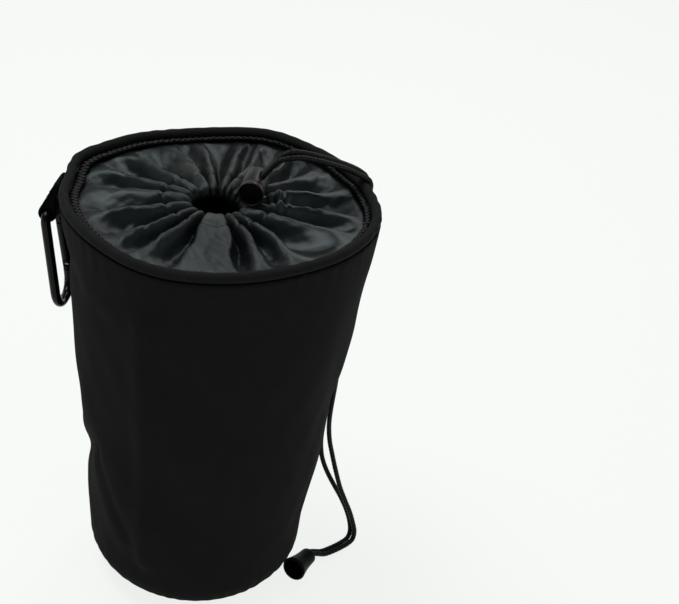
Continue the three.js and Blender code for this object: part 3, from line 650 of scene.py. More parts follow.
def material(name, color, roughness, metallic=0.0, specular=0.5, tint=WHITE):
    """A principled material, with its uniform values on the shader's own sockets."""
    made = bpy.data.materials.new(name)
    made.use_nodes = True
    inputs = shader_of(made).inputs
    inputs["Base Color"].default_value = (*color, 1)
    inputs["Roughness"].default_value = roughness
    inputs["Metallic"].default_value = metallic
    inputs["Specular IOR Level"].default_value = specular
    inputs["Specular Tint"].default_value = (*tint, 1)
    return made


def linked(made, kind, inputs, **settings):
    """Adds a node with settings, and with inputs that are values or other nodes' outputs."""
    tree = made.node_tree
    node = tree.nodes.new(kind)
    for key, value in settings.items():
        setattr(node, key, value)
    for key, value in inputs.items():
        if isinstance(value, bpy.types.NodeSocket):
            tree.links.new(value, node.inputs[key])
        else:
            node.inputs[key].default_value = value
    return node


def color_mix(made, factor, first, second):
    mix = linked(made, "ShaderNodeMix", {"Factor": factor}, data_type="RGBA")
    mix.inputs["A"].default_value = (*first, 1)
    mix.inputs["B"].default_value = (*second, 1)
    return mix.outputs["Result"]


def noise(made, scale, **inputs):
    place = linked(made, "ShaderNodeTexCoord", {}).outputs["Object"]
    return linked(made, "ShaderNodeTexNoise", {"Vector": place, "Scale": scale, **inputs}).outputs["Fac"]


def mottle(made, color, other, scale, rough):
    """Base colour that drifts between two tones, and roughness that drifts with it between two values."""
    tone = noise(made, scale, Detail=4.0, Roughness=0.65)
    span = linked(made, "ShaderNodeMapRange", {"Value": tone, "To Min": rough[0], "To Max": rough[1]})
    made.node_tree.links.new(color_mix(made, tone, color, other), shader_of(made).inputs["Base Color"])
    made.node_tree.links.new(span.outputs["Result"], shader_of(made).inputs["Roughness"])


def bump(made, height, strength, distance):
    node = linked(made, "ShaderNodeBump", {"Height": height, "Strength": strength, "Distance": distance})
    made.node_tree.links.new(node.outputs["Normal"], shader_of(made).inputs["Normal"])


def math_node(made, operation, a, b):
    return linked(made, "ShaderNodeMath", {0: a, 1: b}, operation=operation).outputs["Value"]


def weave_height(made, pitch):
    """A plain weave on the cloth's map: warp and weft threads of a pitch crossing over and under."""
    source = linked(made, "ShaderNodeUVMap", {}, uv_map="weave").outputs["UV"]
    scale = TURN / WAVE_RATE / pitch
    warp, weft = (linked(made, "ShaderNodeTexWave", {"Vector": source, "Scale": scale}, bands_direction=way)
                  for way in "XY")
    crossed = math_node(made, "MULTIPLY", warp.outputs["Fac"], weft.outputs["Fac"])
    open_weave = math_node(made, "MAXIMUM", warp.outputs["Fac"], weft.outputs["Fac"])
    return math_node(made, "ADD", crossed, open_weave)


def cloth(name, color, other, roughness, pitch, depth, specular, tint=WHITE):
    """Woven cloth with a pitch and depth of its threads in mm."""
    made = material(name, color, roughness, specular=specular, tint=tint)
    low, high = (min(1.0, roughness + drift) for drift in CLOTH_ROUGH_DRIFT)
    mottle(made, color, other, CLOTH_DRIFT_SCALE, (low, high))
    bump(made, weave_height(made, pitch * MM), WEAVE_STRENGTH, depth * MM)
    return made


def grained(name, color, other, roughness, grain, depth, specular=0.5, metallic=0.0):
    """A moulded, painted or drawn surface: grain with a depth in mm, and a slow drift in tone and gloss."""
    made = material(name, color, roughness, metallic, specular)
    mottle(made, color, other, GRAIN_DRIFT_SCALE, [roughness * drift for drift in GRAIN_ROUGH_DRIFT])
    bump(made, noise(made, grain, Detail=3.0), GRAIN_STRENGTH, depth * MM)
    return made


# Cloths: two tones, roughness, pitch and depth of the threads in mm, gloss, and the tint of the gloss
WALL_CLOTH_MATERIAL = cloth(
    "wall_cloth", (0.0075, 0.0082, 0.0076), (0.013, 0.0138, 0.013), 0.9, 0.8, 0.14, 0.05)
TRIM_MATERIAL = cloth(
    "trim_cloth", (0.0075, 0.0081, 0.008), (0.0135, 0.0142, 0.014), 0.8, 0.9, 0.25, 0.06)
WEBBING_MATERIAL = cloth(
    "webbing", (0.002, 0.002, 0.0021), (0.004, 0.004, 0.0041), 0.8, 1.3, 0.3, 0.04)
COLLAR_MATERIAL = cloth(
    "collar_nylon", (0.0012, 0.0017, 0.002), (0.0021, 0.0028, 0.0033), 0.34, 0.5, 0.05, 0.36,
    (0.82, 0.97, 1))

# Other surfaces: two tones, roughness, scale of the grain and its depth in mm, and gloss
CORD_MATERIAL = grained(
    "cord_braid", (0.0035, 0.0035, 0.0038), (0.0075, 0.0075, 0.008), 0.42, 2600.0, 0.06, 0.14)
THREAD_MATERIAL = grained(
    "thread", (0.014, 0.014, 0.015), (0.034, 0.034, 0.036), 0.6, 4000.0, 0.03, 0.2)
LOCK_MATERIAL = grained(
    "lock_plastic", (0.006, 0.0062, 0.0062), (0.01, 0.0103, 0.0103), 0.42, 1500.0, 0.03, 0.2)
# Near-black of the cord end's own plastic, also used as painted shade on the disc in the lock's front end
END_PLASTIC_AND_SHADE_MATERIAL = grained(
    "end_plastic", (0.0022, 0.0022, 0.0024), (0.004, 0.004, 0.0042), 0.38, 1500.0, 0.03, 0.03)
HOOK_MATERIAL = grained(
    "hook_metal", (0.002, 0.002, 0.0022), (0.0035, 0.0035, 0.0037), 0.2, 900.0, 0.01, 0.14)
STEEL_MATERIAL = grained(
    "bare_steel", (0.3, 0.31, 0.32), (0.42, 0.43, 0.44), 0.34, 1800.0, 0.01, metallic=1.0)


# Section of the bag
FLAT_RADIUS = BASE_RADIUS - BOTTOM_ROUND
ROUND_CENTRE = (FLAT_RADIUS, BOTTOM_ROUND)
MOUTH_REACH = Vector((MOUTH_RADIUS - FLAT_RADIUS, WALL_TOP - BOTTOM_ROUND))
TANGENT = math.atan2(MOUTH_REACH.y, MOUTH_REACH.x) - math.acos(BOTTOM_ROUND / MOUTH_REACH.length)
FLANGE_DEPTH = WALL_CLOTH + GAP
SLIT_DEPTH = FLANGE_DEPTH + COVER_CLOTH
FLANGE_INNER = SLIT_DEPTH + FLANGE_SLIT + COVER_CLOTH
SKIRT_DEPTH = FLANGE_INNER + GAP + FACET_SLACK
FACING_DEPTH = SKIRT_DEPTH + COLLAR_CLOTH + GAP + FACET_SLACK
BEAD_CENTRE = (MOUTH_RADIUS - SLIT_DEPTH - FLANGE_SLIT / 2, RIM_HEIGHT - BEAD_RADIUS)

# Waves of the cloth: how many, their counts per turn and their rises per metre
rim_wave = ripples(WALL_SEED, 4, (2, 6), (0, 0.001))
slow_wave = ripples(WALL_SEED + 1, 7, (2, 9), (2, 14))
fine_wave = ripples(WALL_SEED + 2, 9, (9, 24), (-30, 30))
pucker_wave = ripples(WALL_SEED + 3, 5, (38, 64), (-20, 20))
uneven_wave = ripples(COLLAR_SEED + 1, 6, (5, 30), (-40, 40))
crinkle_wave = ripples(COLLAR_SEED + 2, 9, (24, 80), (-150, 150))


def wall_radius(height, depth=0.0):
    """Radius of the straight wall at a height, outside or at a depth behind its outside."""
    return MOUTH_RADIUS - (WALL_TOP - height) * math.tan(-TANGENT) - depth / math.cos(TANGENT)


def rim_bulge(azimuth, height, way):
    """How far the rim is pulled out of round, fading down the wall: way 0 is outward and way 1 upward."""
    bulge = 0
    for centre, spread, *pull in RIM_BULGES:
        away = unwrapped(azimuth - math.radians(centre)) / math.radians(spread)
        bulge = bulge + pull[way] * MM * np.exp(-away ** 2)
    return bulge * smoothstep(height, WALL_TOP - RIM_REACH, WALL_TOP)


def rim_out(azimuth, height):
    return rim_bulge(azimuth, height, 0)


def rim_lift(azimuth, height):
    wave = RIM_WAVE * rim_wave(azimuth, height) * smoothstep(height, WALL_TOP - RIM_REACH, WALL_TOP)
    return wave + rim_bulge(azimuth, height, 1)


def crease_depth(azimuth, height, start, end, width, depth):
    """Depth of a soft crease along a line on the unrolled wall."""
    middle = math.radians((start[0] + end[0]) / 2)
    girth = BASE_RADIUS + (MOUTH_RADIUS - BASE_RADIUS) / 2
    x = unwrapped(azimuth - middle) * girth
    a = np.array([unwrapped(math.radians(start[0]) - middle) * girth, start[1] * MM])
    b = np.array([unwrapped(math.radians(end[0]) - middle) * girth, end[1] * MM])
    run = b - a
    t = np.clip(((x - a[0]) * run[0] + (height - a[1]) * run[1]) / (run @ run), 0, 1)
    away = np.hypot(x - a[0] - t * run[0], height - a[1] - t * run[1])
    return depth * MM * np.exp(-(away / (width * MM)) ** 2)


def wall_relief(azimuth, height):
    """How far the cloth stands out from the plain cone: creases, slack, puckers and the side seam."""
    creases = sum(crease_depth(azimuth, height, *crease) for crease in CREASES)
    free = smoothstep(height, FOOT_HELD, SLACK_FROM) * (1 - smoothstep(height, SLACK_TO, WALL_TOP))
    slack = SLOW_SLACK * slow_wave(azimuth, height) + FINE_SLACK * fine_wave(azimuth, height)
    at_rim = smoothstep(height, WALL_TOP - RIM_PUCKERS[0], WALL_TOP - RIM_PUCKERS[1])
    at_foot = smoothstep(height, FOOT_HELD, FOOT_PUCKERS[0]) * (1 - smoothstep(height, *FOOT_PUCKERS))
    puckers = PUCKER * pucker_wave(azimuth, height) * (at_rim + at_foot)
    seam = np.exp(-(unwrapped(azimuth - SIDE_SEAM) * BASE_RADIUS / SEAM_WIDTH) ** 2)
    groove = SEAM_DEPTH * seam * smoothstep(height, FOOT_HELD, SEAM_FROM)
    return creases + free * slack + puckers - groove


def bottom_arc(depth, start, end, steps):
    return arc(ROUND_CENTRE, BOTTOM_ROUND - depth, start, end, steps)


def wall_line(depth):
    """The wall's line at a depth behind its outside, from the mouth down to the base seam."""
    heights = np.linspace(WALL_TOP, BOTTOM_ROUND, WALL_ROWS, endpoint=False)
    foot = bottom_arc(depth, TANGENT, -BASE_SEAM_ANGLE, BOTTOM_ROWS)
    return [(wall_radius(h, depth), h) for h in heights] + foot


def base_line(depth):
    """The base's line at a height in its cloth, from beside the axis out to the base seam."""
    radii = np.linspace(BASE_EYE, FLAT_RADIUS, BASE_ROWS, endpoint=False)
    edge = bottom_arc(depth, -QUARTER, -BASE_SEAM_ANGLE - GAP / BOTTOM_ROUND, SEAM_ROWS)
    return [(r, depth) for r in radii] + edge


def make_wall():
    section = wall_line(0) + wall_line(WALL_CLOTH)[::-1]
    return loft("side_wall_cloth", turned(section, WALL_COLUMNS, wall_relief), WALL_CLOTH_MATERIAL)


def make_base():
    section = base_line(0) + base_line(WALL_CLOTH)[::-1]
    return loft("base_panel_cloth", turned(section, BASE_COLUMNS), WALL_CLOTH_MATERIAL)


def make_base_binding():
    depth = WALL_CLOTH + GAP + FACET_SLACK
    half = TAPE_WIDTH / 2 / (BOTTOM_ROUND - depth)
    start, end = -BASE_SEAM_ANGLE - half, -BASE_SEAM_ANGLE + half
    section = bottom_arc(depth, start, end, TAPE_ROWS)
    section += bottom_arc(depth + TAPE_THICKNESS, end, start, TAPE_ROWS)
    return loft("base_binding_tape", turned(section, BASE_COLUMNS), TRIM_MATERIAL)


def make_side_binding():
    """The tape over the side seam, which follows the wall's inside."""
    height = np.linspace(BOTTOM_ROUND, FLANGE_FOOT - GAP, SIDE_TAPE_ROWS)[:, None]
    across = np.linspace(-TAPE_WIDTH / 2, TAPE_WIDTH / 2, SIDE_TAPE_COLUMNS)
    depth = WALL_CLOTH + GAP + np.repeat([0, TAPE_THICKNESS], SIDE_TAPE_COLUMNS)
    azimuth = SIDE_SEAM + np.concatenate([across, across[::-1]]) / wall_radius(height)
    radius = wall_radius(height, depth) + wall_relief(azimuth, height) + rim_out(azimuth, height)
    grid = round_grid(radius, azimuth, height)
    return loft("side_binding_tape", grid, TRIM_MATERIAL, closed_section=False)


def make_piping():
    """The strip folded round its cord, with two flanges that go down inside the wall."""
    def bead(radius, opening, direction):
        sweep = direction * (math.pi - math.asin(opening / radius))
        return arc(BEAD_CENTRE, radius, QUARTER - sweep, QUARTER + sweep, BEAD_ROWS)

    def leg(depth, up):
        heights = np.linspace(FLANGE_FOOT, RIM_HEIGHT - 2 * BEAD_RADIUS - GAP, FLANGE_ROWS)
        return [(wall_radius(h, depth), h) for h in (heights if up else heights[::-1])]

    def relief(azimuth, height):
        return PIPING_PUCKER * pucker_wave(azimuth, height) * smoothstep(height, WALL_TOP, RIM_HEIGHT)

    section = leg(FLANGE_DEPTH, True) + bead(BEAD_RADIUS, FLANGE_SLIT / 2 + COVER_CLOTH, 1)
    section += leg(FLANGE_INNER, False) + leg(FLANGE_INNER - COVER_CLOTH, True)
    section += bead(BEAD_RADIUS - COVER_CLOTH, FLANGE_SLIT / 2, -1) + leg(SLIT_DEPTH, False)
    return loft("rim_piping_cloth", turned(section, WALL_COLUMNS, relief), TRIM_MATERIAL)


def make_core():
    section = arc(BEAD_CENTRE, BEAD_RADIUS - COVER_CLOTH - GAP, 0, TURN, CORE_SIDES + 1)[:-1]
    return loft("rim_piping_cord", turned(section, CORE_COLUMNS), CORD_MATERIAL)


def facing_point(azimuth, share, above):
    """A point above the tape's lower face, by its share of the way from the piping to the free edge."""
    width = MM * np.interp(np.degrees(azimuth) % 360, *np.transpose(FACING_WIDTHS))
    height = WALL_TOP + GAP + FACING_RISE * np.sin(QUARTER * share) + above
    radius = wall_radius(WALL_TOP, FACING_DEPTH) - width * share + rim_out(azimuth, WALL_TOP)
    radius = radius + PUCKER * pucker_wave(azimuth, height)
    return round_grid(radius, azimuth, height + rim_lift(azimuth, WALL_TOP))


def make_facing():
    """The tape that lies over the collar's sewn edge, and the overlock thread that zigzags over it."""
    shares = np.linspace(0, 1, FACING_ROWS)
    share = np.concatenate([shares, shares[::-1]])[:, None]
    above = np.repeat([0, FACING_THICKNESS], FACING_ROWS)[:, None]
    azimuth = even_angles(FACING_COLUMNS)[None, :]
    tape = loft("rim_facing_cloth", facing_point(azimuth, share, above), WEBBING_MATERIAL)
    count = int(TURN * wall_radius(WALL_TOP, FACING_DEPTH) / OVERLOCK_PITCH)
    inward = np.linspace(*OVERLOCK_SPAN, OVERLOCK_STEPS)
    zigzag = np.concatenate([inward, inward[-2::-1]])
    around = np.linspace(0, TURN / count, len(zigzag))
    paths = [facing_point(k * TURN / count + around, zigzag, FACING_THICKNESS + OVERLOCK_RADIUS / 2)
             for k in range(count)]
    return tape, tubes("rim_facing_stitches", paths, OVERLOCK_RADIUS, OVERLOCK_SIDES, THREAD_MATERIAL)


# Collar
def collar_line():
    """COLLAR_LINE's six values at even steps along a smooth curve through them, in metres."""
    knots = np.array(COLLAR_LINE)
    lengths = distances(knots[:, :2])
    places = np.linspace(0, lengths[-1], int(lengths[-1] * MM / COLLAR_STEP))
    k = np.clip(np.searchsorted(lengths, places, "right") - 1, 0, len(lengths) - 2)
    span = (lengths[k + 1] - lengths[k])[:, None]
    t = (places - lengths[k])[:, None] / span
    slope = np.gradient(knots, lengths, axis=0)
    level = (1 + 2 * t) * (1 - t) ** 2 * knots[k] + t * t * (3 - 2 * t) * knots[k + 1]
    bend = span * t * (1 - t) * ((1 - t) * slope[k] - t * slope[k + 1])
    return (level + bend) * np.array([MM, MM, MM, 1, 1, 1])


def ruffle(x, y):
    """Height that the bunched cloth beside the lock adds, with puckers along the hem."""
    across = (x - RUFFLE_CENTRE[0]) / RUFFLE_SPREAD[0]
    along = (y - RUFFLE_CENTRE[1]) / RUFFLE_SPREAD[1]
    pucker = np.sin(TURN * (x / RUFFLE_PITCH + RUFFLE_BEND * np.sin(2 * along)))
    return np.exp(-across ** 2 - along ** 2) * (RUFFLE_RISE + RUFFLE_DEPTH * pucker)


def lock_dent(x, y):
    """Depth that the lock presses into the collar."""
    low, high = LOCK_BOX
    away = np.hypot(x - (low.x + high.x) / 2, y - (low.y + high.y) / 2) / (high.y - low.y)
    return LOCK_PRESS * np.exp(-(2 * away) ** 2)


def collar_grid():
    """Rows of the collar from its sewn skirt, over the pleats to the hole and back under the hem, and which
    row lies on the hem's seam."""
    count = len(RIDGES)
    random = np.random.default_rng(COLLAR_SEED)
    place = np.arange(count * COLUMNS_PER_PLEAT) / COLUMNS_PER_PLEAT
    ridge = place.astype(int)
    following = (ridge + 1) % count
    share = place - ridge
    depth = random.uniform(*PLEAT_DEPTHS, count)
    depth[FRONT_PLEAT] = FRONT_DEPTH
    skew = random.uniform(-PLEAT_SKEW, PLEAT_SKEW, count)[ridge]
    rise = random.uniform(-PLEAT_RISE, PLEAT_RISE, count)
    phase = random.uniform(0, TURN, count)
    rim, hem = np.radians([*RIDGES, np.add(RIDGES[0], 360)]).T
    at_rim, at_hem = (lerp(ends[ridge], ends[ridge + 1], share) for ends in (rim, hem))
    width = (rim[ridge + 1] - rim[ridge]) / USUAL_PLEAT
    rows = []
    for height in np.linspace(WALL_TOP, COLLAR_LINE[0][1] * MM, COLLAR_SKIRT_ROWS, endpoint=False):
        radius = wall_radius(height, SKIRT_DEPTH + COLLAR_CLOTH / 2) + rim_out(at_rim, height)
        rows.append(round_grid(radius, at_rim, height + rim_lift(at_rim, height)))
    line = collar_line()
    inward = np.clip((line[0, 0] - line[:, 0]) / (line[0, 0] - HEM_SEAM_RADIUS), 0, 1)
    for (radius, height, fold, out, up, half), s in zip(line, inward):
        middle = math.sin(math.pi * s)
        wander = PLEAT_WANDER * middle * np.sin(TURN * s * WANDER_TURNS + phase)
        azimuth = lerp(at_rim, at_hem, smoothstep(s, TURN_FROM, 1))
        azimuth = azimuth + lerp(wander[ridge], wander[following], share)
        leaned = share + skew * share * (1 - share) * middle
        hollow = np.clip(1 - np.abs(leaned - 0.5) / half, 0, None)
        hollow = (np.sqrt(hollow ** 2 + CREST ** 2) - CREST) / (math.sqrt(1 + CREST ** 2) - CREST)
        section = lerp(1 - (1 - hollow) ** 2, hollow ** FINGER_POWER, smoothstep(s, FINGERS_FROM, 1))
        deep = fold * depth[ridge] * lerp(1.0, np.sqrt(width), s) * section
        raised = lerp(rise[ridge], rise[following], smoothstep(share, 0, 1))
        slack = COLLAR_SLACK * uneven_wave(azimuth, s * CRINKLE_REACH)
        slack = slack + COLLAR_CRINKLE * crinkle_wave(azimuth, s * CRINKLE_REACH)
        level = height + up * deep + middle * (raised + slack) + rim_lift(azimuth, WALL_TOP) * (1 - s)
        reach = radius + out * deep + rim_out(azimuth, WALL_TOP) * (1 - s)
        x, y = GATHER.x * s + reach * np.cos(azimuth), GATHER.y * s + reach * np.sin(azimuth)
        rows.append(np.stack([x, y, level + ruffle(x, y) - lock_dent(x, y)], 1))
    above_hem = line[:np.argmin(line[:, 0]), 0]
    return np.array(rows), COLLAR_SKIRT_ROWS + int(np.argmin(np.abs(above_hem - HEM_SEAM_RADIUS)))


def make_collar():
    """The gathered cloth, and the running stitch along its hem."""
    grid, seam = collar_grid()
    collar = loft("collar_cloth", grid, COLLAR_MATERIAL, closed_section=False)
    thick = collar.modifiers.new("thickness", "SOLIDIFY")
    thick.thickness = COLLAR_CLOTH / 2
    thick.offset = 0
    settle(collar)
    ring = np.concatenate([grid[seam], grid[seam][:1]]) + np.array([0, 0, GAP])
    ring = resampled(ring, STITCH_STEP)
    step = round(HEM_STITCH / STITCH_STEP)
    paths = [ring[k:k + step] for k in range(0, len(ring) - step, step + 1)]
    return collar, tubes("collar_hem_stitches", paths, THREAD_RADIUS, THREAD_SIDES, THREAD_MATERIAL)


# Drawcord
def braided(name, path):
    """A round braid along a path: strands that cross each other both ways round."""
    around = BRAID_STRANDS * even_angles(BRAID_SIDES)
    along = (2 * BRAID_STRANDS / CORD_DIAMETER) * distances(path)[:, None]
    relief = np.maximum(np.cos(around + along), np.cos(around - along))
    points, faces = tube_mesh(path, CORD_DIAMETER / 2 - BRAID_DEPTH * (1 - relief) / 2, BRAID_SIDES)
    return piece(name, points, faces, CORD_MATERIAL)


def lock_frame():
    """The lock's own frame, with its cords along z and its barrel along y."""
    low, high = LOCK_BOX
    centre = Vector(((low.x + high.x) / 2, low.y + LOCK_FRONT, (low.z + high.z) / 2))
    return frame_at(centre, LOCK_LEAN, "Y")


def loop_path():
    """The drawcord inside the hem, with its two ends turned up to the lock."""
    def strand(side, travel):
        return np.array(lock_frame() @ Vector((0, side * STRAND_OFFSET, travel)))

    circle = arc(GATHER, GATHER_RADIUS, math.radians(LOOP_FROM), math.radians(LOOP_TO), LOOP_POINTS)
    rising = strand(-1, LOOP_END) + np.array(LOOP_TURN)
    rising[2] = GATHER_HEIGHT + LOOP_RISE
    points = [strand(1, LOOP_END), strand(1, LOOP_END - LOOP_LEAD)]
    points += [(x, y, GATHER_HEIGHT) for x, y in circle]
    points += [rising, strand(-1, LOOP_END - LOOP_LEAD), strand(-1, LOOP_END)]
    return curve_through(points, BRAID_STEP)


# Lock and cord end
def barrel_frame():
    return lock_frame() @ Matrix.Rotation(-QUARTER, 4, "X")


def cord_slot(name, end):
    """A long hole for the two strands across the barrel, as far along it as given."""
    radius = CORD_DIAMETER / 2 + GAP
    outline = arc((0, radius - STRANDS_HALF), radius, math.pi, TURN, steps=14)
    outline += arc((0, end - radius), radius, 0, math.pi, steps=14)
    slot = plate(name, outline, 4 * LOCK_RADIUS, LOCK_MATERIAL)
    slot.data.transform(lock_frame() @ PLATE_FLAT)
    return slot


def make_barrel():
    bore_end = LOCK_WALL - LOCK_FRONT
    groove, groove_radius = GROOVE_PLACE - LOCK_FRONT, LOCK_RADIUS - GROOVE_DEPTH
    profile = [(0, RECESS_END), (RECESS_RADIUS, RECESS_END)]
    profile += arc((LOCK_RADIUS - LOCK_EDGE, LOCK_EDGE - LOCK_FRONT), LOCK_EDGE, -QUARTER, 0, steps=6)
    profile += [(LOCK_RADIUS, groove - 2 * GROOVE_HALF), (groove_radius, groove - GROOVE_HALF),
                (groove_radius, groove + GROOVE_HALF), (LOCK_RADIUS, groove + 2 * GROOVE_HALF)]
    profile += arc((LOCK_RADIUS - LOCK_LIP, LOCK_REAR - LOCK_LIP), LOCK_LIP, 0, QUARTER, steps=5)
    profile += [(LOCK_BORE, LOCK_REAR), (LOCK_BORE, bore_end), (0, bore_end)]
    barrel = lathe("lock_barrel_shell", profile, LOCK_MATERIAL, barrel_frame())
    combine(barrel, "DIFFERENCE", cord_slot("barrel_slot", STRANDS_HALF))
    return soften(barrel, LOCK_SOFTNESS)


def make_plunger():
    """The button in the barrel, whose slot is longer by its travel."""
    radius = LOCK_BORE - GAP
    inner, outer = -STRANDS_HALF - PLUNGER_END_WALL, LOCK_REAR + PLUNGER_PROTRUSION
    profile = [(0, inner), (radius, inner)]
    profile += arc((radius - PLUNGER_EDGE, outer - PLUNGER_EDGE), PLUNGER_EDGE, 0, QUARTER, steps=8)
    plunger = lathe("lock_plunger_button", [*profile, (0, outer)], LOCK_MATERIAL, barrel_frame())
    combine(plunger, "DIFFERENCE", cord_slot("plunger_slot", STRANDS_HALF + PLUNGER_TRAVEL))
    return soften(plunger, EDGE_SOFTNESS)


def make_lock_shade_disc():
    """A dark disc in the recess of the barrel's closed end: painted shade, standing in for the shade inside
    the barrel's front end.
    """
    radius, back, face = RECESS_RADIUS - DISC_GAP, RECESS_END + DISC_GAP, RECESS_END - DISC_THICKNESS
    profile = [(0, back), (radius, back), (radius, face + DISC_BEVEL[1]),
               (radius - DISC_BEVEL[0], face), (0, face)]
    return lathe("lock_end_shade_disc", profile, END_PLASTIC_AND_SHADE_MATERIAL, barrel_frame())


def make_lock_spring():
    """The coil behind the plunger, the place of its fixed end, and the share that a full press leaves."""
    low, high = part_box("lock_spring")
    centre = (low + high) / 2
    turn = np.linspace(0, SPRING_TURNS * TURN, SPRING_TURNS * SPRING_STEPS + 1)
    along = np.linspace(low.y + SPRING_WIRE / 2, high.y - SPRING_WIRE / 2, len(turn))
    x, z = centre.x + SPRING_RADIUS * np.cos(turn), centre.z + SPRING_RADIUS * np.sin(turn)
    wire = np.column_stack([x, along, z])
    coil = tubes("lock_spring_coil", [wire], SPRING_WIRE / 2, SPRING_SIDES, STEEL_MATERIAL)
    return coil, (centre.x, low.y, centre.z), 1 - PLUNGER_TRAVEL / (high.y - low.y)


def make_bell():
    """The cord end, which lies along its flared side on the floor."""
    tilt = math.asin((BELL_MOUTH_RADIUS - BELL_NECK_RADIUS) / BELL_LENGTH)
    neck = (*BELL_NECK, BELL_NECK_RADIUS * math.cos(tilt) + GAP)
    place = frame_at(neck, BELL_HEADING, "Z") @ Matrix.Rotation(QUARTER - tilt, 4, "Y")
    rise = np.linspace(BELL_ROUND, BELL_LENGTH - BELL_LIP, BELL_ROWS)[1:]
    flare = np.interp(rise, (BELL_ROUND, BELL_LENGTH / 2, BELL_LENGTH - BELL_LIP),
                      (BELL_NECK_RADIUS, BELL_WAIST_RADIUS, BELL_MOUTH_RADIUS))
    hollow = BELL_HOLLOW * np.sin(math.pi * (rise - BELL_ROUND) / (BELL_LENGTH - BELL_ROUND))
    cavity = BELL_WAIST_RADIUS - BELL_WALL
    profile = arc((BELL_NECK_RADIUS - BELL_ROUND, BELL_ROUND), BELL_ROUND, -QUARTER, 0, steps=7)
    profile += zip(flare - hollow, rise)
    profile += [(BELL_MOUTH_RADIUS - BELL_LIP, BELL_LENGTH), (BELL_MOUTH_RADIUS - BELL_WALL, BELL_LENGTH),
                (cavity, BELL_LENGTH / 2), (cavity, BELL_SHOULDER),
                (STRANDS_HALF, BELL_SHOULDER), (STRANDS_HALF, 0)]
    return soften(lathe("cord_end_cover", profile, END_PLASTIC_AND_SHADE_MATERIAL, place), EDGE_SOFTNESS)


# Tab and snap hook
def joint_frame(name, lean):
    """The frame of what turns at a joint, leaning from upright."""
    place = next(j for j in frame["joints"] if j["name"] == name)["pos_m"]
    return frame_at(place, lean, "Y")


TAB_FRAME = joint_frame("tab_flip", TAB_LEAN)
HOOK_FRAME = joint_frame("carabiner_swing", -HOOK_LEAN)


def tab_bow(depth):
    """How far the outer layer stands out, by the distance from the rim seam."""
    return TAB_BOW * np.sin(math.pi * np.clip(depth / TAB_LENGTH, 0, 1)) ** 2


def tab_path():
    """The middle of the webbing, sewn together below the rim and looped round the hook's bar."""
    middle = ROD_RADIUS + BAR_CLEARANCE + WEBBING / 2
    flare = math.asin((middle - LAYER_OFFSET) / (TAB_LENGTH - TAB_STITCHED))
    line = arc((0, 0), LAYER_OFFSET, 0, math.pi, steps=9) + [(-LAYER_OFFSET, -TAB_STITCHED)]
    line += arc((0, -TAB_LENGTH), middle, math.pi - flare, TURN + flare, steps=30)
    line += [(LAYER_OFFSET, -TAB_STITCHED), (LAYER_OFFSET, 0)]
    path = resampled(np.array([(x, 0, z) for x, z in line]), TAB_STEP)[:-1]
    path[:, 0] -= tab_bow(-path[:, 2]) * (path[:, 0] < 0)
    return path


def flattened(wave, power):
    """A wave with flatter crests, for the rounded corners of a flat band."""
    return np.sign(wave) * np.abs(wave) ** power


def make_tab():
    """One band of webbing, its raw ends folded in between, and its seams."""
    path = tab_path()
    along = np.roll(path, -1, 0) - np.roll(path, 1, 0)
    along /= np.linalg.norm(along, axis=1, keepdims=True)
    out = np.cross(along, (0, 1, 0))
    angle = even_angles(TAB_SIDES)
    across = TAB_WIDTH / 2 * flattened(np.cos(angle), WEBBING_CORNERS[0])
    thick = WEBBING / 2 * flattened(np.sin(angle), WEBBING_CORNERS[1])
    grid = path[:, None] + out[:, None] * thick[None, :, None] + np.array((0, 1, 0)) * across[None, :, None]
    band = loft("tab_webbing_loop", grid, WEBBING_MATERIAL)
    face = -LAYER_OFFSET - WEBBING / 2 - THREAD_RADIUS / 3
    edge = TAB_WIDTH / 2 - TAB_SEAM_INSET
    stitches = [[(face - tab_bow(seam), start + part * TAB_STITCH, -seam) for part in (0, 0.5, 1)]
                for seam in TAB_SEAMS for start in np.arange(-edge, edge - TAB_STITCH, TAB_STITCH_PITCH)]
    seams = tubes("tab_seams", stitches, THREAD_RADIUS, THREAD_SIDES, THREAD_MATERIAL)
    fold = plate("tab_folded_ends", path[:, [0, 2]], TAB_WIDTH - 2 * FOLD_INSET, WEBBING_MATERIAL)
    bar_radius = ROD_RADIUS + BAR_CLEARANCE + FOLD_GAP
    bar = cross_pin("bar_space", bar_radius, 2 * TAB_WIDTH, 0, -TAB_LENGTH, WEBBING_MATERIAL)
    combine(fold, "DIFFERENCE", bar)
    fold.data.transform(Matrix.Rotation(-QUARTER, 4, "Z"))
    for obj in (band, fold, seams):
        obj.data.transform(TAB_FRAME)
    return band, fold, seams


def rod_path():
    low = 2 * ROD_RADIUS - HOOK_LENGTH
    line = [(BAR_HALF, GAP - GATE_TOP)]
    line += arc((BAR_HALF - BAR_CORNER, -BAR_CORNER), BAR_CORNER, 0, QUARTER, steps=12)
    line += arc((BAR_CORNER - BAR_HALF, -BAR_CORNER), BAR_CORNER, QUARTER, math.pi, steps=12)
    line += arc((SPINE_CORNER - BAR_HALF, low + SPINE_CORNER), SPINE_CORNER, math.pi, 3 * QUARTER, steps=20)
    line += arc((NOSE_Y - NOSE_CORNER, low + NOSE_CORNER), NOSE_CORNER, -QUARTER, 0, steps=20)
    line += [(NOSE_Y, ROD_END)]
    return resampled(np.array([(0, y, z) for y, z in line]), ROD_STEP)


def tongue(name, y, start, tip, radius):
    """A flat tongue from its start to a round end about its tip."""
    end = arc((y, tip), radius, math.pi, 0 if tip > start else TURN, steps=14)
    return plate(name, [(y - radius, start), *end, (y + radius, start)], TONGUE_THICKNESS, HOOK_MATERIAL)


def cross_pin(name, radius, length, y, z, finish):
    """A round pin along x."""
    profile = [(0, -length / 2), (radius, -length / 2), (radius, length / 2), (0, length / 2)]
    return lathe(name, profile, finish, frame_at((0, y, z), QUARTER, "Y"), PIN_SIDES)


def hook_hole(name, radius, y, z):
    return cross_pin(name, radius, ACROSS_ROD, y, z, HOOK_MATERIAL)


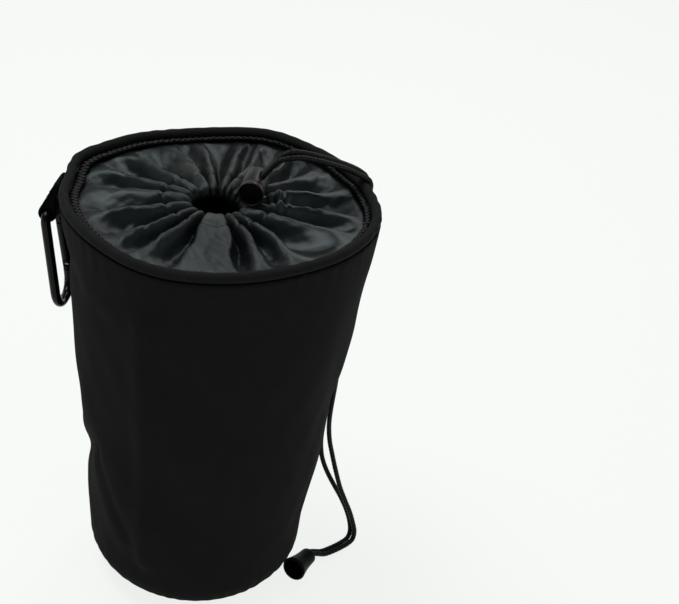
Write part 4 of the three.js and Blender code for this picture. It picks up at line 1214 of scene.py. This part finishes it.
def block(name, size, centre):
    y, z = size[1] / 2, size[2] / 2
    made = plate(name, [(-y, -z), (y, -z), (y, z), (-y, z)], size[0], HOOK_MATERIAL)
    made.data.transform(Matrix.Translation(centre))
    return made


def make_rod():
    """The bent rod with its two milled tongues."""
    points, faces = tube_mesh(rod_path(), ROD_RADIUS, ROD_SIDES)
    rod = piece("carabiner_rod", points, faces, HOOK_MATERIAL)
    nose_tip = LATCH_Z + 2 * LATCH_RADIUS
    combine(rod, "UNION",
            tongue("hinge_tongue", BAR_HALF, ROD_RADIUS - GATE_TOP, RIVET_Z, ROD_RADIUS - GAP),
            tongue("nose_tongue", NOSE_Y, ROD_END - ROD_RADIUS, nose_tip, ROD_RADIUS - 2 * GAP))
    entry = (ACROSS_ROD, 2 * ROD_RADIUS, 2 * LATCH_SPACE)
    combine(rod, "DIFFERENCE",
            hook_hole("rivet_hole", RIVET_RADIUS + GAP, BAR_HALF, RIVET_Z),
            hook_hole("latch_hole", LATCH_SPACE, NOSE_Y, LATCH_Z),
            block("latch_entry", entry, (0, NOSE_Y - ROD_RADIUS, LATCH_Z)))
    rod.data.transform(HOOK_FRAME)
    return soften(rod, EDGE_SOFTNESS)


def make_gate():
    """The gate's bar, forked at both ends, made along z from its rivet."""
    fork = TONGUE_THICKNESS + 2 * GAP
    profile = [(0, -ROD_RADIUS)] + arc((0, 0), ROD_RADIUS, -QUARTER, 0, steps=10)[1:]
    profile += [(ROD_RADIUS, GATE_LENGTH - GATE_CHAMFER), (ROD_RADIUS - GATE_CHAMFER, GATE_LENGTH),
                (0, GATE_LENGTH)]
    gate = lathe("carabiner_gate_bar", profile, HOOK_MATERIAL, Matrix.Identity(4), GATE_SIDES)
    combine(gate, "DIFFERENCE",
            block("hinge_slot", (fork, 2 * ACROSS_ROD, 2 * (ROD_RADIUS + GAP)), (0, 0, 0)),
            block("nose_slot", (fork, 2 * ACROSS_ROD, 2 * NOSE_SLOT_DEPTH), (0, 0, GATE_LENGTH)),
            hook_hole("gate_rivet_hole", RIVET_RADIUS + GAP, 0, 0),
            hook_hole("gate_latch_hole", LATCH_SPACE, 0, GATE_LENGTH - LATCH_SETBACK))
    place = frame_at((0, BAR_HALF, RIVET_Z), math.pi + GATE_TILT, "X")
    gate.data.transform(HOOK_FRAME @ place)
    return soften(gate, EDGE_SOFTNESS)


def make_rivet():
    head = ROD_RADIUS + GAP
    crown = head + RIVET_CROWN
    upper = [(RIVET_RADIUS, head), (RIVET_HEAD, head), (RIVET_HEAD - RIVET_CROWN, crown), (0, crown)]
    profile = [(r, -z) for r, z in reversed(upper)] + upper
    place = HOOK_FRAME @ Matrix.Translation((0, BAR_HALF, RIVET_Z)) @ Matrix.Rotation(QUARTER, 4, "Y")
    return soften(lathe("gate_rivet_pin", profile, STEEL_MATERIAL, place, PIN_SIDES), RIVET_SOFTNESS)


def put(obj, body, slot, *nodes):
    """Rides a piece on its body and lets it stand for its solids; the slot is not used."""
    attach(obj, body)
    if nodes:
        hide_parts(*nodes)
    return obj


# Cloth
put(make_wall(), "bag", "wall_cloth", "side_wall")
put(make_base(), "bag", "wall_cloth", "base_panel")
put(make_base_binding(), "bag", "trim_cloth", "base_seam_binding")
put(make_side_binding(), "bag", "trim_cloth", "side_seam_binding")
put(make_piping(), "bag", "trim_cloth", "rim_piping_cover")
put(make_core(), "bag", "cord_braid", "rim_piping_core")
facing, overlock = make_facing()
put(facing, "bag", "trim_cloth", "rim_facing_tape")
put(overlock, "bag", "trim_cloth")
collar, hem_stitches = make_collar()
put(collar, "bag", "collar_nylon", "gathered_collar")
put(hem_stitches, "bag", "trim_cloth")

# Drawcord, lock and cord end
put(braided("drawcord_in_hem", loop_path()), "bag", "cord_braid", "drawcord_loop")
bell = put(make_bell(), "bag", "end_plastic", "cord_end_bell")
TAILS = (
    ("drawcord_tail_a", STRAND_A, "fitting", [bell, "cord_end_knot"]),
    ("drawcord_tail_b", STRAND_B, "knot", []),
)
for name, strand, far_end, ends in TAILS:
    route = curve_through(np.array(strand) * MM, BRAID_STEP)
    tail = put(braided(name.replace("drawcord", "braided"), route), "bag", "cord_braid", name)
barrel = make_barrel()
plunger = make_plunger()
put(barrel, "lock", "lock_plastic", "lock_barrel")
# Painted shade: a near-black disc in the barrel's front end, where shade falls
put(make_lock_shade_disc(), "lock", "end_plastic")
put(plunger, "plunger", "lock_plastic", "lock_plunger")
coil, coil_foot, pressed_share = make_lock_spring()
put(coil, "lock", "bare_steel", "lock_spring")
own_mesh(coil)

# Tab and snap hook
band, fold, seams = make_tab()
put(band, "tab", "trim_cloth", "tab_webbing")
put(fold, "tab", "trim_cloth")
put(seams, "tab", "trim_cloth")
put(make_rod(), "carabiner", "hook_metal", "carabiner_frame")
put(make_gate(), "gate", "hook_metal", "carabiner_gate")
put(make_rivet(), "carabiner", "bare_steel", "gate_rivet")

# Solids that are used as they are
KEPT = {
    "cord_end_knot": CORD_MATERIAL, "gate_latch_pin": STEEL_MATERIAL,
    "gate_spring": STEEL_MATERIAL, "gate_pusher": STEEL_MATERIAL,
}
for node, finish in KEPT.items():
    solid = frame["nodes"][node]
    solid.data.materials.clear()
    solid.data.materials.append(finish)


# Stage, light and camera
def seen_rays(made):
    """1 for the rays of the camera, gloss and glass, which see the pale background, and 0 for light."""
    path = linked(made, "ShaderNodeLightPath", {}).outputs
    glass_or_gloss = math_node(made, "MAXIMUM", path["Is Glossy Ray"], path["Is Transmission Ray"])
    return math_node(made, "MAXIMUM", path["Is Camera Ray"], glass_or_gloss)


def to_output(made, output, factor, first, second):
    """Sends a mix of two shaders to an output node."""
    tree = made.node_tree
    mix = linked(made, "ShaderNodeMixShader", {"Fac": factor, 1: first, 2: second})
    tree.links.new(mix.outputs["Shader"], tree.nodes[output].inputs["Surface"])


def make_floor():
    """A pale floor that looks whiter than the light on it makes it, and keeps a soft shadow."""
    made = material("floor", FLOOR_COLOR, FLOOR_ROUGHNESS)
    glow = linked(made, "ShaderNodeEmission", {"Color": (*GLOW_COLOR, 1), "Strength": 1.0})
    share = math_node(made, "MULTIPLY", seen_rays(made), FLOOR_GLOW)
    to_output(made, "Material Output", share, shader_of(made).outputs["BSDF"], glow.outputs["Emission"])
    corners = [(x * FLOOR_HALF, y * FLOOR_HALF, 0) for x, y in ((-1, -1), (1, -1), (1, 1), (-1, 1))]
    piece("floor", corners, [range(4)], made, smooth=False)


def make_world():
    """Soft light from all round, with a background that is pale at the horizon and greyer higher up."""
    world = bpy.data.worlds.new("studio")
    world.use_nodes = True
    bpy.context.scene.world = world
    light = world.node_tree.nodes["Background"]
    light.inputs["Color"].default_value = (*WHITE, 1)
    light.inputs["Strength"].default_value = WORLD_LIGHT
    way = linked(world, "ShaderNodeTexCoord", {}).outputs["Generated"]
    rise = linked(world, "ShaderNodeSeparateXYZ", {"Vector": way}).outputs["Z"]
    pale, grey = BACKDROP_RISE
    share = linked(world, "ShaderNodeMapRange", {"Value": rise, "From Min": pale, "From Max": grey})
    shade = color_mix(world, share.outputs["Result"], HORIZON_COLOR, BACKDROP_COLOR)
    backdrop = linked(world, "ShaderNodeBackground", {"Color": shade}).outputs["Background"]
    to_output(world, "World Output", seen_rays(world), light.outputs["Background"], backdrop)


def area_light(name, place, size, power):
    light = bpy.data.lights.new(name, "AREA")
    light.size = size
    light.energy = power
    obj = placed(name, light)
    obj.location = place
    obj.rotation_euler = (Vector(LAMP_AIM) - Vector(place)).to_track_quat("-Z", "Y").to_euler()


def make_camera():
    lens = bpy.data.cameras.new("camera")
    lens.lens = CAMERA_LENS
    lens.sensor_width = CAMERA_SENSOR
    lens.clip_start = CAMERA_NEAR
    camera = placed("camera", lens)
    turn = (CAMERA_AIM - CAMERA_PLACE).to_track_quat("-Z", "Y").to_matrix().to_4x4()
    camera.matrix_world = Matrix.Translation(CAMERA_PLACE) @ turn @ Matrix.Rotation(CAMERA_ROLL, 4, "Z")
    bpy.context.scene.camera = camera


make_floor()
make_world()
for lamp in LAMPS:
    area_light(*lamp)
make_camera()
bpy.context.scene.view_settings.view_transform = "Standard"
